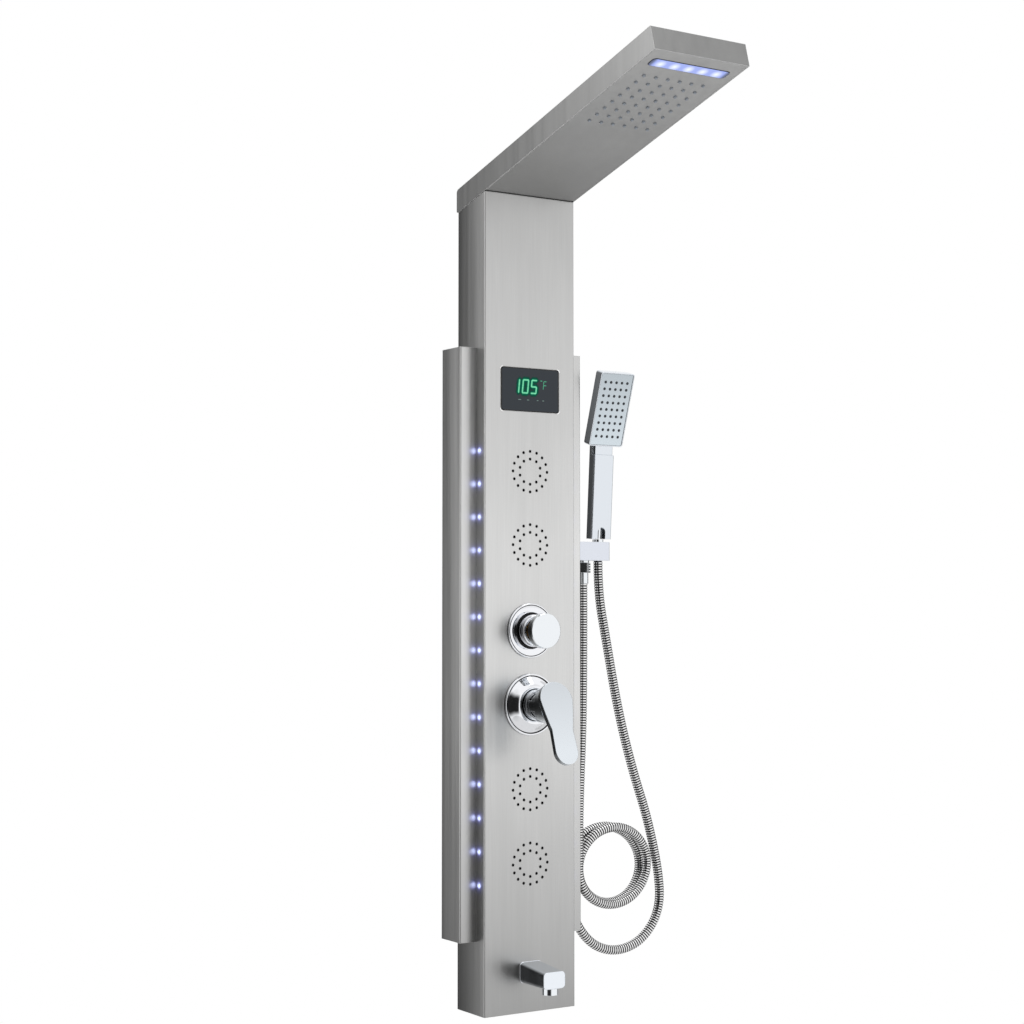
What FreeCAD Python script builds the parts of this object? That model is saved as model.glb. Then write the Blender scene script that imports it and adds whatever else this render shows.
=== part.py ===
import FreeCAD, Part
import math
import os

# Shower panel column for a wall: a folded steel column with a tilted rain arm,
# side wings lit by small lamps, body jets, a diverter, a lever mixer, a bath
# spout and a hand shower on a coiled metal hose. Sizes are in millimetres.
# X runs to the right as seen from the front, Y towards the wall, Z up.
# The origin is at the foot, half way across, on the wall's surface.

V = FreeCAD.Vector

# --- Column -------------------------------------------------------------
wall_gap = 5.0            # the column's rear edges stand this far off the wall
panel_width = 153.0
panel_depth = 72.0
front_height = 1161.0     # top edge of the front plate
sheet = 1.2               # stainless steel sheet
fold = 2.0                # outer radius of a folded edge
return_flange = 14.0
touch = 0.3               # gap at a curved or sliding seat
foot_lip = 14.0           # rear lip of the foot plate, which meets the wall
foot_tab = 12.0

# --- Wings --------------------------------------------------------------
wing_width = 26.4
wing_setback = 22.0       # wing front behind the column's front
wing_low = 102.0
wing_high = 939.0
wing_flange = 16.0
wing_return = 10.0

# --- Rain arm -----------------------------------------------------------
arm_tilt = 15.1           # degrees above level
arm_length = 414.0        # along the slope, from the column's front
arm_thickness = 32.5
arm_back_radius = 6.0
arm_foot_radius = 2.5
gasket = 1.0
seam = 0.5                # open line around the arm's underside plate
ledge_width = 8.0
plate_tail = 14.0         # underside plate carried back over the column
nozzle_columns = 6
nozzle_rows = 8
nozzle_pitch_across = 19.2
nozzle_pitch_along = 18.0
nozzle_setback = 189.0    # first row, back from the arm's end
nozzle_radius = 2.5
nozzle_fit = 0.4
nozzle_reach = 1.8
mat_thickness = 2.5
mat_border = 10.0
chamber_height = 16.0
chamber_wall = 2.5
light_setback = 29.5      # lamp's middle, back from the arm's end
light_length = 124.0
light_width = 18.0
light_corner = 5.0
light_rim = 0.8           # rubber rim around the lens
light_depth = 8.0
board = 1.6               # circuit board
lamp_chip = 5.0
lamp_chips = 5

# --- Display ------------------------------------------------------------
display_width = 99.0
display_height = 62.0
display_gap = 343.7       # display's middle above the diverter
display_corner = 3.0
display_fit = 0.3
display_flange = 4.0
display_proud = 0.4
module_depth = 18.0
module_border = 5.0

# --- Body jets ----------------------------------------------------------
jet_pitch = 104.8         # between the two jets above, and the two below
upper_jet_gap = 121.9     # from the diverter up to the next jet
lower_jet_gap = 119.8     # from the mixer down to the next jet
jet_ring_counts = (10, 16)
jet_ring_radii = (18.0, 29.0)
jet_hole_radius = 1.9
jet_pad_radius = 35.0
jet_pad_thickness = 2.2
jet_chamber_radius = 37.5
jet_chamber_depth = 16.0
few_sides = 5             # flats of the many small round holes
hidden_sides = 6          # flats of stubs, tees and hoses behind the column
disc_sides = 16           # flats of round discs behind the column

# --- Side lamps ---------------------------------------------------------
lamp_count = 14
lamp_first = 181.0
lamp_pitch = 47.0
lamp_radius = 3.0
lamp_proud = 1.3
lamp_setback = 14.3       # lamp centre behind the column's front
strip_width = 10.0
strip_end = 11.0
lens_base = 2.0

# --- Diverter -----------------------------------------------------------
diverter_height = 537.3
diverter_rose_radius = 39.0
diverter_body_radius = 26.0
diverter_body_depth = 42.0
diverter_core_radius = 14.0
stem_radius = 4.0
stem_fit = 0.06
knob_radius = 24.8
knob_reach = 41.5
knob_cap = 8.0            # solid front of the knob, ahead of the stem
knob_under = 32.0
knob_neck_radius = 16.0
collar_reach = 18.0       # collar of the escutcheon, ahead of the plate
core_reach = 11.0
rose_collar_radius = 23.0
rose_dome = 9.5           # height of the dome where the collar leaves it
rose_edge = 2.6           # thickness at the rim of both round escutcheons

# --- Mixer --------------------------------------------------------------
mixer_drop = 104.8        # mixer's axis below the diverter's
mixer_rose_radius = 44.0
mixer_body_radius = 30.0
mixer_body_depth = 40.0
cartridge_radius = 17.5
turret_radius = 22.0
turret_pivot = 24.0       # pivot in front of the plate
turret_tip = 20.0         # flat tip in front of the pivot
rose_floor = 6.0          # recess of the rose that the turret turns in
rose_crown = 14.0
rose_crown_width = 4.7
lever_tilt = 20.0         # paddle leans forward, degrees
lever_front = 67.4        # paddle face at its round head, before the plate
lever_head_radius = 26.5
lever_tongue_width = 36.5
lever_length = 119.0
lever_thickness = 7.0
lever_hub_radius = 24.0
lever_gap = 0.6
inlet_spacing = 76.0
inlet_radius = 10.45      # G 1/2 thread, outside
inlet_length = 16.0
inlet_arm_radius = 13.0
inlet_wall = 3.0
inlet_drop = 12.0

# --- Spout --------------------------------------------------------------
spout_low = 42.0
spout_width = 36.0
spout_base_height = 29.0
spout_end_height = 23.4
spout_reach = 61.0
spout_corner = 6.0
spout_flange_thickness = 1.5
spout_flange_border = 0.8
aerator_radius = 11.5
aerator_setback = 11.0
aerator_drop = 9.0
aerator_neck_radius = 10.3
aerator_neck = 6.0        # neck inside the spout
shank_radius = 10.0
shank_length = 26.0
shank_wall = 3.0
nut_radius = 15.0
nut_thickness = 7.0

# --- Plumbing inside ----------------------------------------------------
line_inset = 14.5         # hose lines, in from the column's sides
line_y = 12.2             # jet line, behind the front plate's outer face
main_y = 33.0             # main hoses, behind the front plate's outer face
hose_radius = 6.0
hose_lead = 30.0          # straight run where a hose leaves a port
jet_hose_radius = 4.0
tee_radius = 6.5
tee_half = 15.0
rain_port_x = -11.0
hand_port_x = 13.0
port_radius = 8.0
port_reach = 34.0
link_radius = 7.5
union_radius = 12.0
union_length = 9.0
generator_gap = 63.0      # generator above the display
generator_radius = 24.0
generator_wall = 4.0
generator_length = 40.0
generator_cap = 4.0
generator_offset = 10.0
rotor_blades = 8
rotor_radius = 18.0
rotor_hub = 6.0
rotor_shaft = 1.5
rotor_fit = 0.05
blade_thickness = 1.6
boss_height = 3.0
bearing_depth = 1.8       # depth of each shaft end in its wall
nipple_radius = 4.5
nipple_length = 12.0
nipple_wall = 1.5

# --- Wall brackets ------------------------------------------------------
bracket_low = 80.0
bracket_drop = 89.0       # upper bracket's foot, below the column's top
bracket_sheet = 2.0
bracket_width = 104.0
bracket_height = 45.0
bracket_lip = 12.0
lip_sheet = 1.7
rail_sheet = 1.8
rail_height = 20.0
rail_overhang = 6.5
bracket_hole_radius = 2.75
bracket_hole_spacing = 80.0
bracket_hole_height = 34.0

# --- Hand shower holder and outlet --------------------------------------
holder_low = 639.0
holder_height = 27.5
holder_length = 59.1
holder_depth = 34.0
holder_corner = 3.0
hand_x = 151.5            # axis of the hand shower's hose nut
hand_y = -30.0
cone_top_radius = 12.3
cone_low_radius = 8.6
cone_fit = 0.2
cone_rim = 4.0            # height of the round neck above the seat
cone_neck_radius = 8.2
nut_sides = 24            # fine grip flats round the hose nut
fork_width = 15.5
outlet_x = 124.0
spigot_radius = 7.0
spigot_fit = 0.3
outlet_nut_radius = 11.5  # across the corners, halved
outlet_nut_length = 18.0
ferrule_length = 16.0
ferrule_radius = 8.2
outlet_collar = 3.0
outlet_step = 2.2

# --- Metal hose ---------------------------------------------------------
hand_hose_radius = 7.0
hand_hose_sides = 6       # flats round the hose
coil_half_width = 62.0
coil_half_height = 56.0
coil_turns = 2
coil_x = 174.5
coil_y = -21.5
coil_z = 187.0
coil_sway = 13.3          # fore and aft, between the first and last turn
coil_shift = 9.5          # the middle strand stands this far in
supply_route = ((124.0, -30.0, 525.0), (122.0, -31.0, 400.0),
                (115.5, -33.0, 305.0), (112.5, -34.8, 240.0))
rise_route = ((110.5, -8.2, 132.5), (140.5, -11.5, 77.0),
              (185.5, -15.0, 56.0), (234.0, -17.5, 65.5),
              (267.5, -19.5, 102.0), (273.0, -21.0, 151.0),
              (249.0, -22.0, 249.0), (217.5, -24.0, 328.0),
              (189.0, -26.5, 420.0), (167.0, -28.5, 522.0),
              (151.5, -30.0, 592.0))

# --- Hand shower --------------------------------------------------------
handle_width = 36.5
handle_depth = 15.0
handle_front = 9.0        # front face before the hose's axis
handle_length = 125.0
handle_lean = 3.9
handle_corner = 3.0
notch_width = 13.0
notch_height = 17.0
neck_height = 12.0
neck_spine = 8.0          # the handle's rear part runs on behind the neck
neck_width = 31.0
neck_setback = 2.0
head_overhang = 1.7
head_width = 60.0
head_length = 111.0
head_thickness = 14.0
head_lean = 17.6
head_corner = 4.0
head_rim = 1.6
face_thickness = 2.0
face_recess = 0.6
face_fit = 0.3
spray_columns = 5
spray_rows = 9
spray_pitch_across = 9.8
spray_pitch_along = 10.2
spray_radius = 1.5
spray_reach = 0.9
spray_mat = 2.0
connector_width = 9.5
connector_length = 20.0

# --- Places worked out from the sizes ------------------------------------
half = panel_width / 2
rear = -wall_gap
front = rear - panel_depth
inside = front + sheet
wing_front = front + wing_setback
wing_side = half + wing_width
tilt = math.radians(arm_tilt)
lamp_y = front + lamp_setback
jet_y = front + line_y
main_line_y = front + main_y
line_x = half - line_inset
spout_height = spout_low + spout_base_height / 2
mixer_height = diverter_height - mixer_drop
upper_jet = diverter_height + upper_jet_gap
lower_jet = mixer_height - lower_jet_gap
jet_heights = (upper_jet + jet_pitch, upper_jet, lower_jet, lower_jet - jet_pitch)
display_centre = diverter_height + display_gap
generator_height = display_centre + display_height / 2 + generator_gap
bracket_heights = (bracket_low, front_height - bracket_drop)
light_centre = arm_length - light_setback
nozzle_first = arm_length - nozzle_setback
holder_x = wing_side + holder_length
holder_top = holder_low + holder_height
spigot_height = holder_low + holder_height / 2
hand_seat = holder_top + touch
ferrule_end = holder_low - outlet_nut_length - ferrule_length
pivot_y = front - turret_pivot


# --- Shape helpers --------------------------------------------------------
def block(x, y, z):
    """Block whose three extents are given as (low, high) pairs."""
    return Part.makeBox(x[1] - x[0], y[1] - y[0], z[1] - z[0], V(x[0], y[0], z[0]))


def rod(start, direction, radius, length):
    return Part.makeCylinder(radius, length, V(*start), V(*direction))


def fused(first, *others):
    return first.fuse(list(others)).removeSplitter()


def cut(shape, *tools):
    return shape.cut(Part.makeCompound(list(tools)))


def rounded(shape, radius, direction, where=lambda middle: True):
    """Round the straight edges that run along a direction and lie where asked."""
    line = V(*direction)
    chosen = []
    for edge in shape.Edges:
        run = edge.Vertexes[-1].Point - edge.Vertexes[0].Point
        if run.Length > 0.1 and run.cross(line).Length < 1e-6 * run.Length:
            if where(edge.CenterOfMass):
                chosen.append(edge)
    return shape.makeFillet(radius, chosen)


def outline(points, place):
    """Closed wire through 2-D points; a third item marks a point on an arc."""
    corners = [place(point[0], point[1]) for point in points]
    count = len(points)
    edges = []
    index = 0
    while index < count:
        following = (index + 1) % count
        if len(points[following]) == 3:
            after = (index + 2) % count
            arc = Part.Arc(corners[index], corners[following], corners[after])
            edges.append(arc.toShape())
            index += 2
        else:
            line = Part.LineSegment(corners[index], corners[following])
            edges.append(line.toShape())
            index += 1
    return Part.Wire(edges)


def spun(points, height):
    """Turn (radius, reach) points about a level axis out of the front plate."""
    wire = outline(points, lambda r, reach: V(r, front - reach, height))
    return Part.Face(wire).revolve(V(0, front, height), V(0, 1, 0), 360)


def turned(points, y):
    """Turn (radius, height) points about an upright axis half way across."""
    wire = outline(points, lambda r, z: V(r, y, z))
    return Part.Face(wire).revolve(V(0, y, 0), V(0, 0, 1), 360)


def flats(centre, across, up, radius, sides):
    """Corners of a regular outline with a few flats about a centre."""
    corners = []
    for step in range(sides):
        angle = 2 * math.pi * (step + 0.5) / sides
        corners.append(centre + across * (radius * math.cos(angle))
                       + up * (radius * math.sin(angle)))
    return corners


def closed(corners):
    return Part.makePolygon(corners + corners[:1])


def tapered(low, high):
    """Solid with flat sides between two parallel outlines, given as corners."""
    faces = [Part.Face(closed(low)), Part.Face(closed(high))]
    for index in range(len(low)):
        sides = [low[index - 1], low[index], high[index], high[index - 1]]
        faces.append(Part.Face(closed(sides)))
    return Part.Solid(Part.Shell(faces))


def peg(centre, across, up, radius, reach, end_radius=None):
    """Straight or tapered peg with a few flats, along a reach vector."""
    low = flats(centre, across, up, radius, few_sides)
    if end_radius is None:
        return Part.Face(closed(low)).extrude(reach)
    return tapered(low, flats(centre + reach, across, up, end_radius, few_sides))


def post(start, direction, radius, length, sides):
    """Straight piece with a few flats, along X, Y or Z."""
    line = V(*direction)
    across = V(0, 0, 1) if abs(line.z) < 0.5 else V(1, 0, 0)
    section = closed(flats(V(*start), across, line.cross(across), radius, sides))
    return Part.Face(section).extrude(line * length)


def ring_points(count, radius):
    """Evenly spaced places on a ring from its top, as (x, z) pairs."""
    for step in range(count):
        angle = 2 * math.pi * step / count
        yield radius * math.sin(angle), radius * math.cos(angle)


def slope(along, above):
    """Row-frame Y and Z of a place on the arm, along and square to its underside."""
    y = front - along * math.cos(tilt) + above * math.sin(tilt)
    z = front_height + along * math.sin(tilt) + above * math.cos(tilt)
    return y, z


def on_arm(shape):
    """Carry a shape from the arm's own frame, where -Y runs up the slope."""
    placed = shape.copy()
    placed.rotate(V(0, 0, 0), V(1, 0, 0), -arm_tilt)
    placed.translate(V(0, front, front_height))
    return placed


def slope_block(x, along, above):
    return on_arm(block(x, (-along[1], -along[0]), above))


# --- Cords and hoses ------------------------------------------------------
def arc_middle(start, heading, end):
    """Middle of the arc that leaves start along a heading and reaches end."""
    chord = end - start
    along = heading.dot(chord) / chord.Length
    turn = math.acos(max(-1.0, min(1.0, along)))
    side = heading - chord * (along / chord.Length)
    if side.Length < 1e-9:
        return None
    side.normalize()
    return start + chord * 0.5 + side * (chord.Length / 2 * math.tan(turn / 2))


def routed(points, limit=None):
    """Path of straight runs joined by tangent arcs; returns it and its radii."""
    corners = [V(*point) for point in points]
    edges = []
    radii = []
    start = corners[0]
    for before, corner, after in zip(corners, corners[1:], corners[2:]):
        back = before - corner
        ahead = after - corner
        shorter = min(back.Length, ahead.Length)
        half_turn = (math.pi - back.getAngle(ahead)) / 2
        trim = 0.45 * shorter
        if limit is not None:
            trim = min(trim, limit * math.tan(half_turn))
        radii.append(trim / math.tan(half_turn))
        back.normalize()
        ahead.normalize()
        arc_start = corner + back * trim
        arc_end = corner + ahead * trim
        bisector = (back + ahead).normalize()
        drop = radii[-1] / math.cos(half_turn) - radii[-1]
        middle = corner + bisector * drop
        edges.append(Part.LineSegment(start, arc_start).toShape())
        edges.append(Part.Arc(arc_start, middle, arc_end).toShape())
        start = arc_end
    edges.append(Part.LineSegment(start, corners[-1]).toShape())
    return Part.Wire(edges), radii


def swept(path, radius, sides):
    """Solid of a section with a few flats, drawn along a path."""
    first = path.Edges[0]
    start = first.valueAt(first.FirstParameter)
    heading = first.tangentAt(first.FirstParameter)
    across = V(0, 1, 0)
    section = closed(flats(start, across, heading.cross(across).normalize(), radius,
                           sides))
    return path.makePipeShell([section], True, False)


def hose(points, radius, limit=None):
    path, radii = routed(points, limit)
    return swept(path, radius, hidden_sides)


def report_tube(name, path, radii, solid, radius, sides):
    """Print how a tube's volume compares with its section times its length."""
    section = sides / 2 * radius * radius * math.sin(2 * math.pi / sides)
    print(name, "length", round(path.Length, 1), "volume ratio",
          round(solid.Volume / (section * path.Length), 4), "radii",
          [round(value) for value in radii])


# --- Casing ---------------------------------------------------------------
def column_prism(inset, height):
    """Column's outline set in by a wall, with folded front corners."""
    prism = block((-half + inset, half - inset), (front + inset, rear - inset),
                  (0, height))
    radius = max(fold - inset, 0.4)
    return rounded(prism, radius, (0, 0, 1), lambda m: m.y < front + panel_depth / 2)


def rear_opening(height):
    gap = half - return_flange
    return block((-gap, gap), (rear - fold - sheet, rear + fold), (0, height))


def jet_holes():
    """Punches for the four rings of jets in the front plate."""
    tools = []
    for height in jet_heights:
        for count, radius in zip(jet_ring_counts, jet_ring_radii):
            for x, z in ring_points(count, radius):
                start = V(x, front - sheet, height + z)
                tools.append(peg(start, V(1, 0, 0), V(0, 0, 1), jet_hole_radius,
                                 V(0, 3 * sheet, 0)))
    return tools


def lamp_heights():
    for index in range(lamp_count):
        yield lamp_first + index * lamp_pitch


def lamp_holes():
    """Punches through both side walls of the column."""
    tools = []
    for height in lamp_heights():
        start = V(-half - sheet, lamp_y, height)
        tools.append(peg(start, V(0, 1, 0), V(0, 0, 1), lamp_radius + touch,
                         V(panel_width + 2 * sheet, 0, 0)))
    return tools


def display_opening():
    half_width = display_width / 2 + display_fit
    half_height = display_height / 2 + display_fit
    opening = block((-half_width, half_width), (front - sheet, inside + sheet),
                    (display_centre - half_height, display_centre + half_height))
    return rounded(opening, display_corner + display_fit, (0, 1, 0))


def front_hole(height, radius):
    return rod((0, front - sheet, height), (0, 1, 0), radius, 3 * sheet)


def column_shell():
    height = front_height + 1
    shell = cut(column_prism(0, height), column_prism(sheet, height),
                rear_opening(height))
    shell = cut(shell, slope_block((-half - 1, half + 1), (-2 * panel_depth, panel_depth),
                                   (-gasket, arm_thickness)))
    spigot = rod((half - 3 * sheet, hand_y, spigot_height), (1, 0, 0),
                 spigot_radius + spigot_fit, 6 * sheet)
    return cut(shell, display_opening(), spigot,
               front_hole(diverter_height, diverter_core_radius + touch),
               front_hole(mixer_height, cartridge_radius + touch),
               front_hole(spout_height, shank_radius + touch),
               *jet_holes(), *lamp_holes())


def foot_plate():
    """Bottom closure with side tabs and a rear lip that meets the wall."""
    edge = half - sheet - touch
    gap = half - return_flange - touch
    plate = block((-edge, edge), (inside + touch, rear - sheet - touch), (0, sheet))
    tongue = block((-gap, gap), (rear - 3 * sheet, 0), (0, sheet))
    lip = block((-gap, gap), (-sheet, 0), (0, foot_lip))
    tabs = []
    for side in (-edge, edge - sheet):
        tabs.append(block((side, side + sheet),
                          (inside + fold, rear - 2 * fold), (0, foot_tab)))
    return fused(plate, tongue, lip, *tabs)


def wing(side):
    """Folded side trim with closed ends and an open back."""
    extent = ((half, wing_side), (wing_front, rear), (wing_low, wing_high))
    shell = rounded(block(*extent), fold, (0, 0, 1),
                    lambda m: m.x > half + wing_width / 2 and m.y < wing_front + fold)
    hollow = block((half + sheet, wing_side - sheet),
                   (wing_front + sheet, rear - sheet),
                   (wing_low + sheet, wing_high - sheet))
    back = block((half - 1, wing_side - wing_return), (rear - 2 * sheet, rear + 1),
                 (wing_low + sheet, wing_high - sheet))
    beside = block((half - 1, half + 2 * sheet), (wing_front + wing_flange, rear + 1),
                   (wing_low + sheet, wing_high - sheet))
    shell = cut(shell, hollow, back, beside)
    if side < 0:
        return shell.mirror(V(0, 0, 0), V(1, 0, 0))
    return cut(shell, rod((half, hand_y, spigot_height), (1, 0, 0),
                          spigot_radius + spigot_fit, wing_width + 1))


# --- Rain arm ---------------------------------------------------------------
def arm_profile(inset, drop):
    """Side outline of the arm, set in by a wall and lowered at its open side."""
    top = arm_thickness - inset
    end = arm_length - inset
    front_low = slope(end, -drop)
    front_top = slope(end, top)
    back = -inset
    along_top = (front - back + top * math.sin(tilt)) / math.cos(tilt)
    along_low = (front - back - drop * math.sin(tilt)) / math.cos(tilt)
    back_top = slope(along_top, top)
    back_low = slope(along_low, -drop)
    return front_low, front_top, back_top, back_low


def arm_prism(inset, drop):
    corners = arm_profile(inset, drop)
    place = lambda y, z: V(-half + inset, y, z)
    face = Part.Face(outline(corners, place))
    return face.extrude(V(panel_width - 2 * inset, 0, 0)), corners


def arm_cover():
    """Tray with closed ends and two ledges that carry the underside plate."""
    outer, corners = arm_prism(0, 0)
    radii = (None, fold / 2, arm_back_radius, arm_foot_radius)
    for (y, z), radius in zip(corners, radii):
        if radius:
            outer = rounded(outer, radius, (1, 0, 0),
                            lambda m: math.hypot(m.y - y, m.z - z) < 0.01)
    hollow, _ = arm_prism(sheet, 4 * sheet)
    ledges = []
    for side in (-1, 1):
        ends = sorted((side * (half - sheet / 2), side * (half - sheet - ledge_width)))
        ledges.append(slope_block(ends, (fold, arm_length - sheet / 2),
                                  (sheet, 2 * sheet)))
    return fused(cut(outer, hollow), *ledges)


def arm_gasket():
    """Rubber seal between the column's rim and the arm."""
    height = front_height + 1
    rim = cut(column_prism(touch / 2, height), column_prism(sheet * 2, height),
              rear_opening(height))
    slab = slope_block((-half, half), (-2 * panel_depth, panel_depth), (-gasket, 0))
    return rim.common(slab)


def nozzle_places():
    """Places of the rain nozzles, as (x, along the slope) pairs."""
    for row in range(nozzle_rows):
        for column in range(nozzle_columns):
            x = (column - (nozzle_columns - 1) / 2) * nozzle_pitch_across
            yield x, nozzle_first + row * nozzle_pitch_along


def light_block(grow, above):
    """Rounded block over the light slot, grown all round."""
    half_length = light_length / 2 + grow
    half_width = light_width / 2 + grow
    shape = block((-half_length, half_length),
                  (-light_centre - half_width, -light_centre + half_width), above)
    return rounded(shape, light_corner + grow, (0, 0, 1))


def arm_plate():
    """Underside plate with the nozzle holes and the light slot."""
    edge = half - sheet - seam
    plate = block((-edge, edge), (-arm_length + sheet + seam, plate_tail), (0, sheet))
    tools = [light_block(0, (-1, sheet + 1))]
    for x, along in nozzle_places():
        tools.append(peg(V(x, -along, -sheet), V(1, 0, 0), V(0, 1, 0),
                         nozzle_radius + nozzle_fit, V(0, 0, 3 * sheet)))
    return on_arm(cut(plate, *tools))


def rain_extent(border):
    """Half width and slope range of the nozzle field with a border."""
    half_width = (nozzle_columns - 1) / 2 * nozzle_pitch_across + border
    last = nozzle_first + (nozzle_rows - 1) * nozzle_pitch_along
    return half_width, nozzle_first - border, last + border


def rain_nozzles():
    """Silicone mat with a tapered nozzle at each hole."""
    half_width, start, end = rain_extent(mat_border)
    mat = block((-half_width, half_width), (-end, -start), (sheet, sheet + mat_thickness))
    pegs = []
    for x, along in nozzle_places():
        pegs.append(peg(V(x, -along, sheet), V(1, 0, 0), V(0, 1, 0), nozzle_radius,
                        V(0, 0, -sheet - nozzle_reach), nozzle_radius * 0.8))
    return on_arm(mat.fuse(pegs))


def rain_chamber():
    """Water chamber that clamps the nozzle mat, with its inlet nipple."""
    half_width, start, end = rain_extent(mat_border)
    low = sheet + mat_thickness
    body = block((-half_width, half_width), (-end, -start), (low, low + chamber_height))
    body = rounded(body, 2 * chamber_wall, (0, 0, 1))
    inner = block((-half_width + chamber_wall, half_width - chamber_wall),
                  (-end + chamber_wall, -start - chamber_wall),
                  (low - 1, low + chamber_height - chamber_wall))
    middle = low + chamber_height / 2
    nipple = post((rain_port_x, -start - 1, middle), (0, 1, 0), nipple_radius,
                  nipple_length, hidden_sides)
    bore = post((rain_port_x, -start - 2 * chamber_wall, middle), (0, 1, 0),
                nipple_radius - nipple_wall, nipple_length + 3 * chamber_wall,
                hidden_sides)
    return on_arm(cut(fused(cut(body, inner), nipple), bore))


def light_gasket():
    outer = light_block(-0.05, (-touch, sheet))
    return on_arm(cut(outer, light_block(-light_rim, (-1, sheet + 1))))


def light_lens():
    """Clear lens with a flange behind the plate and a wall for the board."""
    window = light_block(-light_rim, (-2 * touch, sheet))
    flange = light_block(light_rim, (sheet, light_depth))
    hollow = light_block(-2 * light_rim, (2 * sheet, light_depth + 1))
    return on_arm(cut(fused(window, flange), hollow))


def light_board():
    """Lamp board that closes the lens from above."""
    half_length = light_length / 2
    half_width = light_width / 2
    plate = block((-half_length, half_length),
                  (-light_centre - half_width, -light_centre + half_width),
                  (light_depth, light_depth + board))
    chips = []
    for index in range(lamp_chips):
        x = (index - (lamp_chips - 1) / 2) * light_length / (lamp_chips + 0.5)
        chips.append(block((x - lamp_chip / 2, x + lamp_chip / 2),
                           (-light_centre - lamp_chip / 2, -light_centre + lamp_chip / 2),
                           (light_depth - board, light_depth)))
    return on_arm(fused(plate, *chips))


# --- Display ----------------------------------------------------------------
def display_block(grow, y):
    half_width = display_width / 2 + grow
    half_height = display_height / 2 + grow
    shape = block((-half_width, half_width), y,
                  (display_centre - half_height, display_centre + half_height))
    return rounded(shape, display_corner, (0, 1, 0))


def display_window():
    """Tinted window through the front plate with a bonded flange behind."""
    pane = display_block(0, (front - display_proud, inside))
    flange = display_block(display_flange, (inside, inside + display_flange / 2))
    return fused(pane, flange)


def display_module():
    """Sealed electronics box with a cable gland on its back."""
    start = inside + display_flange / 2
    body = display_block(-module_border, (start, start + module_depth))
    gland = post((display_width / 4, start + module_depth, display_centre), (0, 1, 0),
                 module_border, module_border, hidden_sides)
    return fused(body, gland)


# --- Body jets ----------------------------------------------------------------
def jet_pads():
    """Black silicone pads that close the rings of holes from behind."""
    return Part.makeCompound([post((0, inside, height), (0, 1, 0), jet_pad_radius,
                                   jet_pad_thickness, disc_sides)
                              for height in jet_heights])


def tee(height, below, above):
    """Upright hose tee on the jet line."""
    start = height - below
    return post((line_x, jet_y, start), (0, 0, 1), tee_radius, below + above,
                hidden_sides)


def side_stub(start_x, height):
    return post((start_x, jet_y, height), (1, 0, 0), nipple_radius, line_x - start_x,
                hidden_sides)


def jet_chamber(height):
    """Water chamber behind a pad, with its stub and hose tee."""
    start = inside + jet_pad_thickness
    drum = post((0, start, height), (0, 1, 0), jet_chamber_radius, jet_chamber_depth,
                disc_sides)
    below = tee_radius if height == min(jet_heights) else tee_half
    above = tee_radius if height == max(jet_heights) else tee_half
    return fused(drum, side_stub(0, height), tee(height, below, above))


def jet_chambers():
    return Part.makeCompound([jet_chamber(height) for height in jet_heights])


# --- Side lamps ----------------------------------------------------------------
def strip_extent(side, low, high):
    """Strip along the inside of a side wall, between two depths from it."""
    wall = half - sheet
    x = sorted((side * (wall - low), side * (wall - high)))
    last = lamp_first + (lamp_count - 1) * lamp_pitch
    return block(x, (lamp_y - strip_width / 2, lamp_y + strip_width / 2),
                 (lamp_first - strip_end, last + strip_end))


def lamp_lenses(side):
    """Clear strip with a small dome through each hole in the side wall."""
    domes = []
    reach = side * (sheet + lamp_proud)
    for height in lamp_heights():
        start = V(side * (half - sheet), lamp_y, height)
        domes.append(peg(start, V(0, 1, 0), V(0, 0, 1), lamp_radius,
                         V(reach, 0, 0), lamp_radius * 0.75))
    return strip_extent(side, 0, lens_base).fuse(domes)


def lamp_board(side):
    return strip_extent(side, lens_base, lens_base + board)


# --- Diverter ----------------------------------------------------------------
def diverter_body():
    """Brass manifold with a port for each outlet."""
    drum = post((0, inside, diverter_height), (0, 1, 0), diverter_body_radius,
                diverter_body_depth, disc_sides)
    arms = [side_stub(0, diverter_height), tee(diverter_height, tee_half, tee_half),
            post((0, jet_y, diverter_height), (-1, 0, 0), nipple_radius, line_x,
                 hidden_sides),
            post((-line_x, jet_y, diverter_height + tee_radius), (0, 0, -1), tee_radius,
                 tee_half + tee_radius, hidden_sides)]
    for x in (rain_port_x, hand_port_x):
        arms.append(post((x, main_line_y, diverter_height), (0, 0, 1), port_radius,
                         port_reach, hidden_sides))
    arms.append(post((0, main_line_y, diverter_height), (0, 0, -1), port_radius + 1,
                     port_reach, hidden_sides))
    bore = post((0, inside - 1, diverter_height), (0, 1, 0),
                diverter_core_radius + stem_fit, sheet + diverter_body_depth / 2,
                disc_sides)
    return cut(fused(drum, *arms), bore)


def diverter_core():
    """Ceramic cartridge that passes through the plate, with its stem."""
    back = inside - 1 + diverter_body_depth / 2
    body = post((0, back, diverter_height), (0, -1, 0), diverter_core_radius,
                back - front + core_reach, disc_sides)
    stem = rod((0, front, diverter_height), (0, -1, 0), stem_radius,
               knob_reach - knob_cap)
    return fused(body, stem)


def diverter_rose():
    """Domed escutcheon with a raised collar round the stem."""
    rim = diverter_rose_radius
    bore = diverter_core_radius + touch
    collar = rose_collar_radius
    return spun(((bore, 0), (rim, 0), (rim, rose_edge), (collar, rose_dome),
                 (collar, collar_reach), (bore, collar_reach)), diverter_height)


def diverter_knob():
    """Mushroom knob on the stem, with a flat polished face."""
    hole = stem_radius + stem_fit
    depth = knob_reach - knob_cap + touch
    start = collar_reach + touch
    return spun(((hole, start), (knob_neck_radius, start), (knob_neck_radius, knob_under),
                 (knob_radius, knob_under), (knob_radius, knob_reach - 1),
                 (knob_radius - 1, knob_reach), (0, knob_reach), (0, depth),
                 (hole, depth)), diverter_height)


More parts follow.
